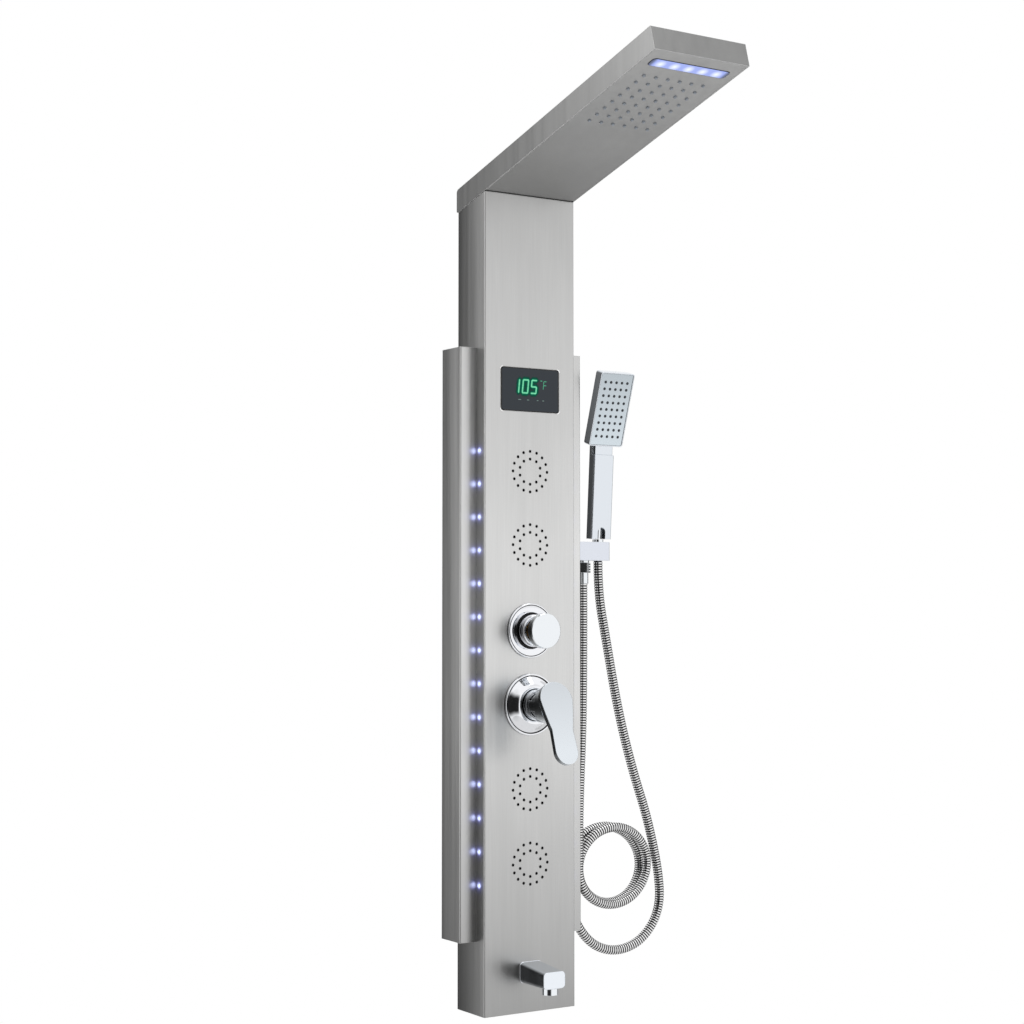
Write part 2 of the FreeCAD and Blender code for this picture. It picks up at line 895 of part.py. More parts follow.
# --- Mixer ----------------------------------------------------------------
def mixer_body():
    """Brass valve body with hot and cold inlets that leave through the back."""
    drum = post((0, inside, mixer_height), (0, 1, 0), mixer_body_radius,
                mixer_body_depth, disc_sides)
    arm_z = mixer_height - inlet_drop
    arm_x = inlet_spacing / 2 + inlet_arm_radius
    cross = post((-arm_x, main_line_y, arm_z), (1, 0, 0), inlet_arm_radius, 2 * arm_x,
                 hidden_sides)
    outlet = post((0, main_line_y, mixer_height), (0, 0, 1), port_radius + 1,
                  port_reach, hidden_sides)
    pieces = [cross, outlet]
    bores = []
    tail = rear - 2 * sheet - main_line_y
    for side in (-1, 1):
        place = (side * inlet_spacing / 2, main_line_y, arm_z)
        pieces.append(post(place, (0, 1, 0), inlet_arm_radius, tail - inlet_length,
                           hidden_sides))
        pieces.append(rod(place, (0, 1, 0), inlet_radius, tail))
        bores.append(rod(place, (0, 1, 0), inlet_radius - inlet_wall, tail + 1))
    return cut(fused(drum, *pieces), *bores)


def mixer_cartridge():
    """Ceramic cartridge on the valve body, with the spindle that the turret turns on."""
    body = post((0, inside, mixer_height), (0, -1, 0), cartridge_radius,
                sheet + rose_floor, disc_sides)
    spindle = rod((0, front, mixer_height), (0, -1, 0), stem_radius, turret_pivot)
    return fused(body, spindle)


def mixer_rose():
    """Stepped escutcheon with a recess that the turret turns in."""
    rim = mixer_rose_radius
    bore = turret_radius + touch
    inner = cartridge_radius + touch
    crown = bore + rose_crown_width
    return spun(((inner, 0), (rim, 0), (rim, rose_edge), (crown + 3, rose_crown - 3),
                 (crown, rose_crown), (bore, rose_crown), (bore, rose_floor),
                 (inner, rose_floor)), mixer_height)


def mixer_turret():
    """Turning base whose end is rounded about the lever's pivot."""
    radius = turret_radius
    start = rose_floor + touch
    tip = turret_pivot + turret_tip
    drum = rod((0, front - start, mixer_height), (0, -1, 0), radius, tip - start)
    straight = block((-radius - 1, radius + 1), (pivot_y, front - start),
                     (mixer_height - radius, mixer_height + radius))
    knuckle = rod((-radius - 1, pivot_y, mixer_height), (1, 0, 0), radius,
                  2 * radius + 2)
    hole = rod((0, front, mixer_height), (0, -1, 0), stem_radius + stem_fit,
               turret_pivot + touch)
    return cut(drum.common(fused(straight, knuckle)), hole)


def paddle_outline():
    """Paddle seen from the front: round head that narrows to a long tongue."""
    radius = lever_head_radius
    tip = lever_tongue_width / 2
    drop = lever_length - radius - tip
    waist = 0.36 * lever_length
    neck = tip - 1.0
    diagonal = math.sqrt(0.5)
    return ((radius, 0), (radius * diagonal, radius * diagonal, "arc"), (0, radius),
            (-radius * diagonal, radius * diagonal, "arc"), (-radius, 0),
            (-radius * 0.93, -radius * 0.42, "arc"), (-neck, -waist), (-tip, -drop),
            (-tip * diagonal, -drop - tip * diagonal, "arc"), (0, -drop - tip),
            (tip * diagonal, -drop - tip * diagonal, "arc"), (tip, -drop),
            (neck, -waist), (radius * 0.93, -radius * 0.42, "arc"))


def mixer_lever():
    """Paddle lever with a socketed hub that rides over the turret's knuckle."""
    room = 2 * lever_length
    place = lambda x, z: V(x, 0, z)
    paddle = Part.Face(outline(paddle_outline(), place)).extrude(V(0, lever_thickness, 0))
    paddle.rotate(V(0, 0, 0), V(1, 0, 0), -lever_tilt)
    lift = lever_head_radius * 0.35
    paddle.translate(V(0, front - lever_front, mixer_height + lift))
    face_y = front - lever_front + lever_thickness / 2
    hub_y = pivot_y - lever_hub_radius / 4
    hub = rod((0, hub_y, mixer_height), (0, -1, 0), lever_hub_radius, hub_y - face_y)
    ahead = block((-room, room), (-room, 0), (-room, room))
    ahead.rotate(V(0, 0, 0), V(1, 0, 0), -lever_tilt)
    ahead.translate(V(0, front - lever_front + lever_thickness / 2, mixer_height + lift))
    clear = turret_radius + lever_gap
    socket = rod((-clear, pivot_y, mixer_height), (1, 0, 0), clear, 2 * clear)
    return cut(fused(cut(hub, ahead), paddle), socket)


# --- Spout ----------------------------------------------------------------
def spout_outline(points):
    """Solid of the spout's width between its two sides, from (reach, height) points."""
    edge = spout_width / 2
    wire = outline(points, lambda reach, z: V(-edge, front - reach, z))
    return Part.Face(wire).extrude(V(2 * edge, 0, 0))


def spout_flange():
    edge = spout_width / 2 + spout_flange_border
    plate = block((-edge, edge), (front - spout_flange_thickness, front),
                  (spout_low - spout_flange_border,
                   spout_low + spout_base_height + spout_flange_border))
    plate = rounded(plate, spout_corner, (0, 1, 0))
    return cut(plate, rod((0, front + 1, spout_height), (0, -1, 0), shank_radius + touch,
                          spout_flange_thickness + 2))


def spout_body():
    """Square spout that tapers to its end, with its threaded shank."""
    body = spout_outline(((spout_flange_thickness, spout_low), (spout_reach, spout_low),
                          (spout_reach, spout_low + spout_end_height),
                          (spout_flange_thickness, spout_low + spout_base_height)))
    sides = [edge for edge in body.Edges
             if abs(edge.Vertexes[-1].Point.y - edge.Vertexes[0].Point.y) > 1]
    body = body.makeFillet(spout_corner, sides)
    shank = rod((0, front - spout_flange_thickness - 1, spout_height), (0, 1, 0),
                shank_radius, shank_length)
    outlet_y = front - spout_reach + aerator_setback
    waterway = rod((0, front + shank_length, spout_height), (0, -1, 0),
                   shank_radius - shank_wall, front + shank_length - outlet_y)
    drop = rod((0, outlet_y, spout_low - 1), (0, 0, 1), aerator_neck_radius,
               spout_base_height / 2)
    return cut(fused(body, shank), waterway, drop)


def aerator():
    """Aerator housing under the spout's end, with its screwed neck."""
    outlet_y = front - spout_reach + aerator_setback
    neck = aerator_neck_radius - touch / 2
    top = spout_low + aerator_neck
    seat = spout_low - touch / 3
    end = spout_low - aerator_drop
    screen = aerator_radius - 2.5
    return turned(((0, top), (neck, top), (neck, seat), (aerator_radius, seat),
                   (aerator_radius, end), (screen, end), (screen, end + 3),
                   (0, end + 3)), outlet_y)


def spout_nut():
    nut = post((0, inside, spout_height), (0, 1, 0), nut_radius, nut_thickness, 6)
    return cut(nut, rod((0, inside - 1, spout_height), (0, 1, 0), shank_radius + touch / 3,
                        nut_thickness + 2))


def escutcheons():
    """Chrome cover plates of the diverter, the mixer and the spout."""
    return Part.makeCompound([diverter_rose(), mixer_rose(), spout_flange()])


# --- Plumbing ----------------------------------------------------------------
def link_pipe():
    """Pipe from mixer to diverter with its two union nuts."""
    low = mixer_height + port_reach
    high = diverter_height - port_reach
    pipe = post((0, main_line_y, low), (0, 0, 1), link_radius, high - low, hidden_sides)
    nuts = []
    for start in (low, high - union_length):
        nuts.append(post((0, main_line_y, start), (0, 0, 1), union_radius,
                         union_length, 6))
    return fused(pipe, *nuts)


def jet_hoses():
    """Straight hoses between the tees of the jet line."""
    stops = sorted(jet_heights + (diverter_height,))
    hoses = []
    for low, high in zip(stops, stops[1:]):
        start = low + tee_half
        hoses.append(post((line_x, jet_y, start), (0, 0, 1), jet_hose_radius,
                          high - tee_half - start, hidden_sides))
    return hoses


def rain_hoses():
    """Hose up to the generator, and from there over the rim into the arm."""
    low = diverter_height + port_reach
    riser = post((rain_port_x, main_line_y, low), (0, 0, 1), hose_radius,
                 generator_height - nipple_length - low, hidden_sides)
    start = generator_height + generator_length + generator_cap + nipple_length
    above = sheet + mat_thickness + chamber_height / 2
    _, chamber_start, _ = rain_extent(mat_border)
    end = chamber_start - nipple_length + 1
    corner_along = (front - main_line_y + above * math.sin(tilt)) / math.cos(tilt)
    corner = slope(corner_along, above)
    finish = slope(end, above)
    over = hose(((rain_port_x, main_line_y, start), (rain_port_x, corner[0], corner[1]),
                 (rain_port_x, finish[0], finish[1])), hose_radius, 6 * hose_radius)
    return [riser, over]


def spout_hose():
    """Hose from the diverter down to the spout's shank elbow."""
    start = diverter_height - tee_half
    end_x = -shank_radius - nut_thickness
    elbow_y = front + shank_length + hose_radius
    return hose(((-line_x, jet_y, start), (-line_x, jet_y, start - hose_lead),
                 (-line_x, elbow_y, start - 3 * hose_lead),
                 (-line_x, elbow_y, spout_height), (end_x, elbow_y, spout_height)),
                hose_radius, 5 * hose_radius)


def spout_elbow():
    """Brass elbow screwed on the shank's tail."""
    elbow_y = front + shank_length + hose_radius
    end_x = -shank_radius - nut_thickness
    socket = post((0, front + shank_length, spout_height), (0, 1, 0), shank_radius,
                  2 * hose_radius + 3, hidden_sides)
    arm = post((0, elbow_y, spout_height), (-1, 0, 0), hose_radius, -end_x, hidden_sides)
    return fused(socket, arm)


def hand_hose_inside():
    """Hose from the diverter to the hand shower's wall elbow."""
    start = diverter_height + port_reach
    end_x = half - sheet - spigot_radius - union_length
    rise = spigot_height - start - hose_lead
    drift = end_x - hand_port_x
    points = ((hand_port_x, main_line_y, start),
              (hand_port_x, main_line_y, start + hose_lead),
              (hand_port_x + drift / 5, (main_line_y + hand_y) / 2,
               start + hose_lead + rise * 0.6),
              (hand_port_x + drift * 0.6, hand_y, spigot_height),
              (end_x, hand_y, spigot_height))
    return hose(points, hose_radius)


def outlet_spigot():
    """Brass spigot through the side wall and the wing into the holder block."""
    start = half - sheet - spigot_radius - union_length
    end = wing_side + spigot_radius + 1
    tube = rod((start, hand_y, spigot_height), (1, 0, 0), spigot_radius, end - start)
    nut = post((half - sheet - union_length, hand_y, spigot_height), (1, 0, 0),
               union_radius, union_length, 6)
    return fused(tube, nut)


def pipe_fittings():
    """Brass nuts, elbow, link pipe and spigot between the hoses and the bodies."""
    return Part.makeCompound([spout_nut(), spout_elbow(), link_pipe(), outlet_spigot()])


def inner_hoses():
    return Part.makeCompound(jet_hoses() + rain_hoses()
                             + [spout_hose(), hand_hose_inside()])


# --- Generator ----------------------------------------------------------------
def generator_axis():
    return rain_port_x + generator_offset, main_line_y


def generator_nipple(start):
    return post((rain_port_x, main_line_y, start), (0, 0, 1), nipple_radius,
                nipple_length + generator_cap, hidden_sides)


def generator_waterway(low, high):
    return post((rain_port_x, main_line_y, low - 1), (0, 0, 1),
                nipple_radius - nipple_wall, high - low + 2, hidden_sides)


def generator_housing():
    """Cup that holds the turbine wheel, with the inlet nipple below."""
    x, y = generator_axis()
    low = generator_height
    floor = low + generator_wall
    cup = post((x, y, low), (0, 0, 1), generator_radius, generator_length, disc_sides)
    cavity = post((x, y, floor), (0, 0, 1), generator_radius - generator_wall,
                  generator_length, disc_sides)
    boss = post((x, y, floor), (0, 0, 1), rotor_hub - 1, boss_height, hidden_sides)
    bearing = rod((x, y, floor - bearing_depth), (0, 0, 1), rotor_shaft + rotor_fit,
                  generator_length)
    cup = fused(cut(cup, cavity), boss, generator_nipple(low - nipple_length))
    return cut(cup, bearing, generator_waterway(low - nipple_length, floor))


def generator_lid():
    x, y = generator_axis()
    low = generator_height + generator_length
    plate = post((x, y, low), (0, 0, 1), generator_radius, generator_cap, disc_sides)
    boss = post((x, y, low - boss_height), (0, 0, 1), rotor_hub - 1, boss_height,
                hidden_sides)
    bearing = rod((x, y, low - boss_height - 1), (0, 0, 1), rotor_shaft + rotor_fit,
                  boss_height + 1 + bearing_depth)
    waterway = generator_waterway(low, low + generator_cap + nipple_length)
    return cut(fused(plate, boss, generator_nipple(low)), bearing, waterway)


def generator_case():
    return Part.makeCompound([generator_housing(), generator_lid()])


def generator_rotor():
    """Turbine wheel: straight blades round a hub on a thin shaft."""
    x, y = generator_axis()
    floor = generator_height + generator_wall
    top = generator_height + generator_length
    low = floor + boss_height + touch
    high = top - boss_height - touch
    shaft_low = floor - bearing_depth + touch
    shaft = rod((x, y, shaft_low), (0, 0, 1), rotor_shaft,
                top + bearing_depth - touch - shaft_low)
    wheel = [post((x, y, low), (0, 0, 1), rotor_hub, high - low, hidden_sides)]
    for index in range(rotor_blades):
        blade = block((0, rotor_radius), (-blade_thickness / 2, blade_thickness / 2),
                      (low + generator_wall, high - generator_wall))
        blade.rotate(V(0, 0, 0), V(0, 0, 1), 360 * index / rotor_blades)
        blade.translate(V(x, y, 0))
        wheel.append(blade)
    return fused(shaft, *wheel)


# --- Wall brackets ----------------------------------------------------------------
def wall_brackets():
    """Two plates screwed to the wall, each with a lip that the column hooks on."""
    edge = bracket_width / 2
    lip_back = rear - touch
    brackets = []
    for low in bracket_heights:
        web = block((-edge, edge), (-bracket_sheet, 0), (low, low + bracket_height))
        shelf = block((-edge, edge), (lip_back - lip_sheet, 0), (low, low + bracket_sheet))
        lip = block((-edge, edge), (lip_back - lip_sheet, lip_back),
                    (low, low + bracket_lip))
        holes = []
        for side in (-1, 1):
            holes.append(rod((side * bracket_hole_spacing / 2, -2 * bracket_sheet,
                              low + bracket_hole_height), (0, 1, 0),
                             bracket_hole_radius, 3 * bracket_sheet))
        brackets.append(cut(fused(web, shelf, lip), *holes))
    return Part.makeCompound(brackets)


def hanger_rails():
    """Cross strips on the column's rear flanges that rest in the brackets."""
    edge = half - rail_overhang
    rails = []
    for low in bracket_heights:
        start = low + bracket_sheet
        rails.append(block((-edge, edge), (rear, rear + rail_sheet),
                           (start, start + rail_height)))
    return Part.makeCompound(rails)


# --- Holder and outlet ----------------------------------------------------------------
def taper(fit, low, high):
    """Many-sided tapered seat of the hose nut between two heights, grown by a fit."""
    rate = (cone_top_radius - cone_low_radius) / holder_height
    rings = []
    for z in (low, high):
        radius = cone_low_radius + (z - holder_low) * rate + fit
        rings.append(flats(V(hand_x, hand_y, z), V(1, 0, 0), V(0, 1, 0), radius,
                           nut_sides))
    return tapered(*rings)


def hand_holder():
    """Chrome block on the wing: outlet below, forked cradle at its end."""
    depth = (hand_y - holder_depth / 2, hand_y + holder_depth / 2)
    body = block((wing_side, holder_x), depth, (holder_low, holder_top))
    body = rounded(body, holder_corner, (0, 0, 1), lambda m: m.x > holder_x - 1)
    fork = block((hand_x, holder_x + 1), (hand_y - fork_width / 2, hand_y + fork_width / 2),
                 (holder_low - 1, holder_top + 1))
    seat = taper(cone_fit, holder_low - 1, holder_top + 1)
    inlet = rod((wing_side - 1, hand_y, spigot_height), (1, 0, 0),
                spigot_radius + spigot_fit, spigot_radius + 3)
    return cut(body, fork, seat, inlet)


def outlet_nut():
    """Hexagonal hose nut under the holder block and the ferrule that grips the hose."""
    low = holder_low - outlet_nut_length
    nut = post((outlet_x, hand_y, low), (0, 0, 1), outlet_nut_radius,
               outlet_nut_length - outlet_collar, 6)
    collar = rod((outlet_x, hand_y, low), (0, 0, 1), outlet_nut_radius - outlet_step,
                 outlet_nut_length)
    ferrule = rod((outlet_x, hand_y, ferrule_end), (0, 0, 1), ferrule_radius,
                  ferrule_length)
    return fused(nut, collar, ferrule)


# --- Metal hose ----------------------------------------------------------------
def coil_point(angle):
    """Place on the coil; the angle runs from 0 at the wing side, downwards."""
    inset = coil_shift * ((1 - math.cos(angle / 2)) / 2) ** 2
    return V(coil_x - coil_half_width * math.cos(angle) + inset,
             coil_y - coil_sway * math.cos(angle / (2 * coil_turns)),
             coil_z - coil_half_height * math.sin(angle))


def coil_heading(angle):
    step = 1e-4
    return (coil_point(angle + step) - coil_point(angle - step)).normalize()


def biarc(start, start_heading, end, end_heading):
    """Two tangent arcs between two places with given headings."""
    chord = end - start
    total = start_heading + end_heading
    spread = 2 * (1 - start_heading.dot(end_heading))
    along = chord.dot(total)
    reach = (math.sqrt(along * along + spread * chord.dot(chord)) - along) / spread
    joint = (start + end + (start_heading - end_heading) * reach) * 0.5
    first = Part.Arc(start, arc_middle(start, start_heading, joint), joint)
    back = arc_middle(end, end_heading * -1, joint)
    second = Part.Arc(joint, back, end)
    return [first.toShape(), second.toShape()]


def coil_path():
    """Unbroken path: straight lead, turns as biarcs, straight tail."""
    lead = 2 * hand_hose_radius
    quarter = math.pi / 2
    total = 2 * math.pi * coil_turns
    start = coil_point(0)
    end = coil_point(total)
    up = V(0, 0, 1)
    edges = [Part.LineSegment(start + up * lead, start).toShape()]
    for index in range(4 * coil_turns):
        low = index * quarter
        high = low + quarter
        edges += biarc(coil_point(low), coil_heading(low), coil_point(high),
                       coil_heading(high))
    edges.append(Part.LineSegment(end, end - up * lead).toShape())
    return Part.Wire(edges), start + up * lead, end - up * lead


def least_gap(path, samples=240):
    """Least distance between strands of a coil, less the hose's thickness."""
    places = path.discretize(samples)
    spacing = path.Length / (samples - 1)
    skip = int(6 * hand_hose_radius / spacing)
    nearest = min(places[a].distanceToPoint(places[b])
                  for a in range(samples) for b in range(a + skip, samples))
    return nearest - 2 * hand_hose_radius


def hand_hose():
    """Free stretches and the coil of the hand shower's hose."""
    coil, coil_start, coil_end = coil_path()
    supply_points = ((outlet_x, hand_y, ferrule_end),) + supply_route + (
        tuple(coil_start),)
    rise_points = (tuple(coil_end),) + rise_route + (
        (hand_x, hand_y, holder_low + touch),)
    stretches = []
    for name, points in (("supply", supply_points), ("rise", rise_points)):
        path, radii = routed(points)
        solid = swept(path, hand_hose_radius, hand_hose_sides)
        report_tube(name, path, radii, solid, hand_hose_radius, hand_hose_sides)
        stretches.append(solid)
    wound = swept(coil, hand_hose_radius, hand_hose_sides)
    report_tube("coil", coil, [], wound, hand_hose_radius, hand_hose_sides)
    print("coil least gap", round(least_gap(coil), 2))
    return Part.makeCompound(stretches), wound


# --- Hand shower ----------------------------------------------------------------
def hose_nut():
    """Tapered hose nut that hangs in the cradle, with a round neck above it."""
    body = taper(0, holder_low + touch, hand_seat)
    neck = rod((hand_x, hand_y, hand_seat), (0, 0, 1), cone_neck_radius, cone_rim)
    return fused(body, neck)


def handle_frame(shape, lean, y, z):
    """Carry a shape built upright about the axis to a leaning place."""
    placed = shape.copy()
    placed.rotate(V(0, 0, 0), V(1, 0, 0), lean)
    placed.translate(V(hand_x, y, z))
    return placed


def handle_low():
    """Height of the handle's axis at its low end, clear of the nut when it leans."""
    droop = handle_front * math.sin(math.radians(handle_lean))
    return hand_seat + cone_rim + touch + droop


def head_place(shape):
    """Carry a shape from the head's frame: origin at its lower rear edge."""
    lean = math.radians(handle_lean)
    nod = math.radians(head_lean)
    reach = handle_length + neck_height
    edge_y = hand_y - handle_front - reach * math.sin(lean) - head_overhang
    edge_z = handle_low() + reach * math.cos(lean)
    return handle_frame(shape, head_lean, edge_y + head_thickness * math.cos(nod),
                        edge_z + head_thickness * math.sin(nod))


def head_block(inset, y, z):
    edge = head_width / 2 - inset
    shape = block((-edge, edge), y, z)
    return rounded(shape, max(head_corner - inset, 0.5), (0, 1, 0))


def spray_places():
    """Places of the spray nozzles in the head's frame, as (x, z) pairs."""
    first = (head_length - (spray_rows - 1) * spray_pitch_along) / 2
    for row in range(spray_rows):
        for column in range(spray_columns):
            x = (column - (spray_columns - 1) / 2) * spray_pitch_across
            yield x, first + row * spray_pitch_along


def handset_shell():
    """Handle, neck and open-faced head in one moulding."""
    edge = handle_width / 2
    back = handle_depth - handle_front
    top = handle_length + neck_height + head_thickness / 2
    handle = block((-edge, edge), (-handle_front, back), (0, top))
    handle = rounded(handle, handle_corner, (0, 0, 1))
    step = block((-edge - 1, edge + 1), (-handle_depth, back - neck_spine),
                 (handle_length, top + 1))
    neck = block((-neck_width / 2, neck_width / 2), (neck_setback - handle_front, back - 1),
                 (handle_length - 1, top - 2))
    notch = fused(block((-notch_width / 2, notch_width / 2), (-handle_depth, 0),
                        (-1, notch_height - notch_width / 2)),
                  rod((0, -handle_depth, notch_height - notch_width / 2), (0, 1, 0),
                      notch_width / 2, handle_depth))
    socket = rod((0, 0, -1), (0, 0, 1), connector_width / 2 + touch, connector_length + 1)
    grip = cut(fused(cut(handle, step), neck), notch, socket)
    grip = handle_frame(grip, handle_lean, hand_y, handle_low())
    head = head_place(head_block(0, (-head_thickness, 0), (0, head_length)))
    recess = face_recess + face_thickness + spray_mat
    hollow = head_block(head_rim, (-head_thickness - 1, -head_thickness + recess),
                        (head_rim, head_length - head_rim))
    return cut(fused(head, grip), head_place(hollow))


def face_block(y, inset):
    return head_block(head_rim + inset, y, (head_rim + inset, head_length - head_rim - inset))


def handset_face():
    """Face plate of the spray head with its nozzle holes."""
    start = face_recess - head_thickness
    plate = face_block((start, start + face_thickness), face_fit)
    tools = []
    for x, z in spray_places():
        tools.append(peg(V(x, start - 1, z), V(1, 0, 0), V(0, 0, 1),
                         spray_radius + nozzle_fit, V(0, face_thickness + 2, 0)))
    return head_place(cut(plate, *tools))


def handset_nozzles():
    """Silicone mat behind the face plate, with a nub through each hole."""
    start = face_recess - head_thickness + face_thickness
    mat = face_block((start, start + spray_mat - touch), 3 * face_fit)
    nubs = []
    for x, z in spray_places():
        nubs.append(peg(V(x, start, z), V(1, 0, 0), V(0, 0, 1), spray_radius,
                        V(0, -face_thickness - spray_reach, 0), spray_radius * 0.7))
    return head_place(mat.fuse(nubs))


def handset_connector():
    """Round threaded connector that shows in the handle's notch."""
    core = rod((0, 0, 0), (0, 0, 1), connector_width / 2, connector_length)
    return handle_frame(core, handle_lean, hand_y, handle_low())


# --- Export ----------------------------------------------------------------
def all_parts():
    parts = {
        "column_shell": column_shell(),
        "foot_plate": foot_plate(),
        "left_wing": wing(-1),
        "right_wing": wing(1),
        "arm_cover": arm_cover(),
        "arm_plate": arm_plate(),
        "arm_gasket": arm_gasket(),
        "rain_nozzles": rain_nozzles(),
        "rain_chamber": rain_chamber(),
        "light_gasket": light_gasket(),
        "light_lens": light_lens(),
        "light_board": light_board(),
        "display_window": display_window(),
        "display_module": display_module(),
        "lamp_lenses_left": lamp_lenses(-1),
        "lamp_lenses_right": lamp_lenses(1),
        "lamp_board_left": lamp_board(-1),
        "lamp_board_right": lamp_board(1),
        "jet_pads": jet_pads(),
        "jet_chambers": jet_chambers(),
        "valve_bodies": Part.makeCompound([diverter_body(), mixer_body()]),
        "cartridges": Part.makeCompound([diverter_core(), mixer_cartridge()]),
        "diverter_knob": diverter_knob(),
        "escutcheons": escutcheons(),
        "mixer_turret": mixer_turret(),
        "mixer_lever": mixer_lever(),
        "spout_body": spout_body(),
        "aerator": aerator(),
        "pipe_fittings": pipe_fittings(),
        "inner_hoses": inner_hoses(),
        "generator_case": generator_case(),
        "generator_rotor": generator_rotor(),
        "wall_brackets": wall_brackets(),
        "hanger_rails": hanger_rails(),
        "hand_holder": hand_holder(),
        "outlet_nut": outlet_nut(),
        "hose_nut": hose_nut(),
        "handset_shell": handset_shell(),
        "handset_face": handset_face(),
        "handset_nozzles": handset_nozzles(),
        "handset_connector": handset_connector(),
    }
    parts["hand_hose"], parts["hand_hose_coil"] = hand_hose()
    return parts


os.makedirs("parts", exist_ok=True)
for part_name, part_shape in all_parts().items():
    if not part_shape.isValid():
        print("INVALID", part_name)
    print(part_name, len(part_shape.Solids), round(part_shape.Volume))
    part_shape.exportStep("parts/{}.step".format(part_name))
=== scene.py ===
import math

import bpy
from mathutils import Matrix, Vector


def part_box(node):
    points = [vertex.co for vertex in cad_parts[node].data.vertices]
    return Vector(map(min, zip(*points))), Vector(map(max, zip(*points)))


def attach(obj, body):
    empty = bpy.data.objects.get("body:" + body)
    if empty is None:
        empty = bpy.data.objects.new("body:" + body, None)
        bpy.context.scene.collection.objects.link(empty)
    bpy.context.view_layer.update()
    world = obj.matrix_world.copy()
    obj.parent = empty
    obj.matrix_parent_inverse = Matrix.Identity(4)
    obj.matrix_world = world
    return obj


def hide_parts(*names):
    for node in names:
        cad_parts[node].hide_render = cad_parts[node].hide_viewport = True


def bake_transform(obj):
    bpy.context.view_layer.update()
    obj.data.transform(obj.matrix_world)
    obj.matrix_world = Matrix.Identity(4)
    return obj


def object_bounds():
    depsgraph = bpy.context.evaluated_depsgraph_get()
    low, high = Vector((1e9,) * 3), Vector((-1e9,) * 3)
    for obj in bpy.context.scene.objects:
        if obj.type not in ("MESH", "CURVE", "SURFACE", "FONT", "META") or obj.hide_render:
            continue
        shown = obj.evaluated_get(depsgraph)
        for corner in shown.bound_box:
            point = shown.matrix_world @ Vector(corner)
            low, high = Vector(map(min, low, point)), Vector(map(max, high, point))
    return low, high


# Looks of a shower panel column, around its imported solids. Lengths are in metres.
# X runs right as seen from the front, Y into the wall and Z up, as in the solids.

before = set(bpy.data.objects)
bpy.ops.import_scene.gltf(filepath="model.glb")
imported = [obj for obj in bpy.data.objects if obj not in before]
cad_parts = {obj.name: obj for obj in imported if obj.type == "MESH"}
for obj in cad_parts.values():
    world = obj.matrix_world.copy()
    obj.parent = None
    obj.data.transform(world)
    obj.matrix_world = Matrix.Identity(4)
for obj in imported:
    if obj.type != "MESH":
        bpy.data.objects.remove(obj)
cad_low, cad_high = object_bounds()

# --- Places taken from the solids ---------------------------------------------
column_low, column_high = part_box("column_shell")
front = column_low.y
half = column_high.x
wing_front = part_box("left_wing")[0].y
window_low, window_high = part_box("display_window")
lens_low, lens_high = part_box("lamp_lenses_left")
strip_end = 0.011           # from a strip's end to its first lamp
lamp_count = 14
lamp_first = lens_low.z + strip_end
lamp_pitch = (lens_high.z - lens_low.z - 2 * strip_end) / (lamp_count - 1)
lamp_y = (lens_low.y + lens_high.y) / 2
arm_slope = math.radians(15.1)
knob_low, knob_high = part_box("diverter_knob")
diverter_height = (knob_low.z + knob_high.z) / 2
turret_low, turret_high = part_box("mixer_turret")
mixer_height = (turret_low.z + turret_high.z) / 2
face_low, face_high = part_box("handset_face")
window_flange = 0.004       # edge of the window that the column's front covers


# --- Shader helpers -------------------------------------------------------------
def material(name, colour, rough, metal=0.0):
    """New material and its shader, with the settings that are the same all over."""
    made = bpy.data.materials.new(name)
    made.use_nodes = True
    shader = made.node_tree.nodes["Principled BSDF"]
    shader.inputs["Base Color"].default_value = (*colour, 1)
    shader.inputs["Roughness"].default_value = rough
    shader.inputs["Metallic"].default_value = metal
    return made, shader


def node(tree, kind, **values):
    """New shader node with its inputs and properties set by name."""
    made = tree.nodes.new(kind)
    for key, value in values.items():
        if hasattr(made, key):
            setattr(made, key, value)
        else:
            made.inputs[key.replace("_", " ")].default_value = value
    return made


def calc(tree, operation, first, second=0.0, third=0.0):
    """Math node on sockets or numbers; returns its result socket."""
    made = tree.nodes.new("ShaderNodeMath")
    made.operation = operation
    for socket, value in zip(made.inputs, (first, second, third)):
        if isinstance(value, (int, float)):
            socket.default_value = value
        else:
            tree.links.new(value, socket)
    return made.outputs[0]


def mix(tree, share, first, second):
    """Number between two, by a share from 0 to 1."""
    made = tree.nodes.new("ShaderNodeMix")
    for socket, value in zip(made.inputs, (share, None, first, second)):
        if value is None:
            continue
        if isinstance(value, (int, float)):
            socket.default_value = value
        else:
            tree.links.new(value, socket)
    return made.outputs[0]


def coordinates(tree, scale, turn=0.0):
    """Frame coordinates, turned about X and stretched."""
    source = tree.nodes.new("ShaderNodeTexCoord")
    mapping = tree.nodes.new("ShaderNodeMapping")
    mapping.inputs["Rotation"].default_value = (turn, 0, 0)
    mapping.inputs["Scale"].default_value = scale
    tree.links.new(source.outputs["Object"], mapping.inputs["Vector"])
    return mapping.outputs["Vector"]


def noise(tree, vector, detail):
    """Cloudy value round 0.5, of the vector's scale."""
    made = node(tree, "ShaderNodeTexNoise", Scale=1.0, Detail=detail, Roughness=0.6)
    tree.links.new(vector, made.inputs["Vector"])
    return made.outputs["Fac"]


def spread(tree, value, low, high, from_low=0.3, from_high=0.7):
    """Carry a value from one range to another, held inside it."""
    made = node(tree, "ShaderNodeMapRange")
    for name, number in (("From Min", from_low), ("From Max", from_high),
                         ("To Min", low), ("To Max", high)):
        made.inputs[name].default_value = number
    tree.links.new(value, made.inputs["Value"])
    return made.outputs["Result"]


def shade(tree, value, dark, light):
    """Colour between two, by a value from 0 to 1."""
    ramp = tree.nodes.new("ShaderNodeValToRGB")
    ramp.color_ramp.elements[0].color = (*dark, 1)
    ramp.color_ramp.elements[1].color = (*light, 1)
    tree.links.new(value, ramp.inputs["Fac"])
    return ramp.outputs["Color"]


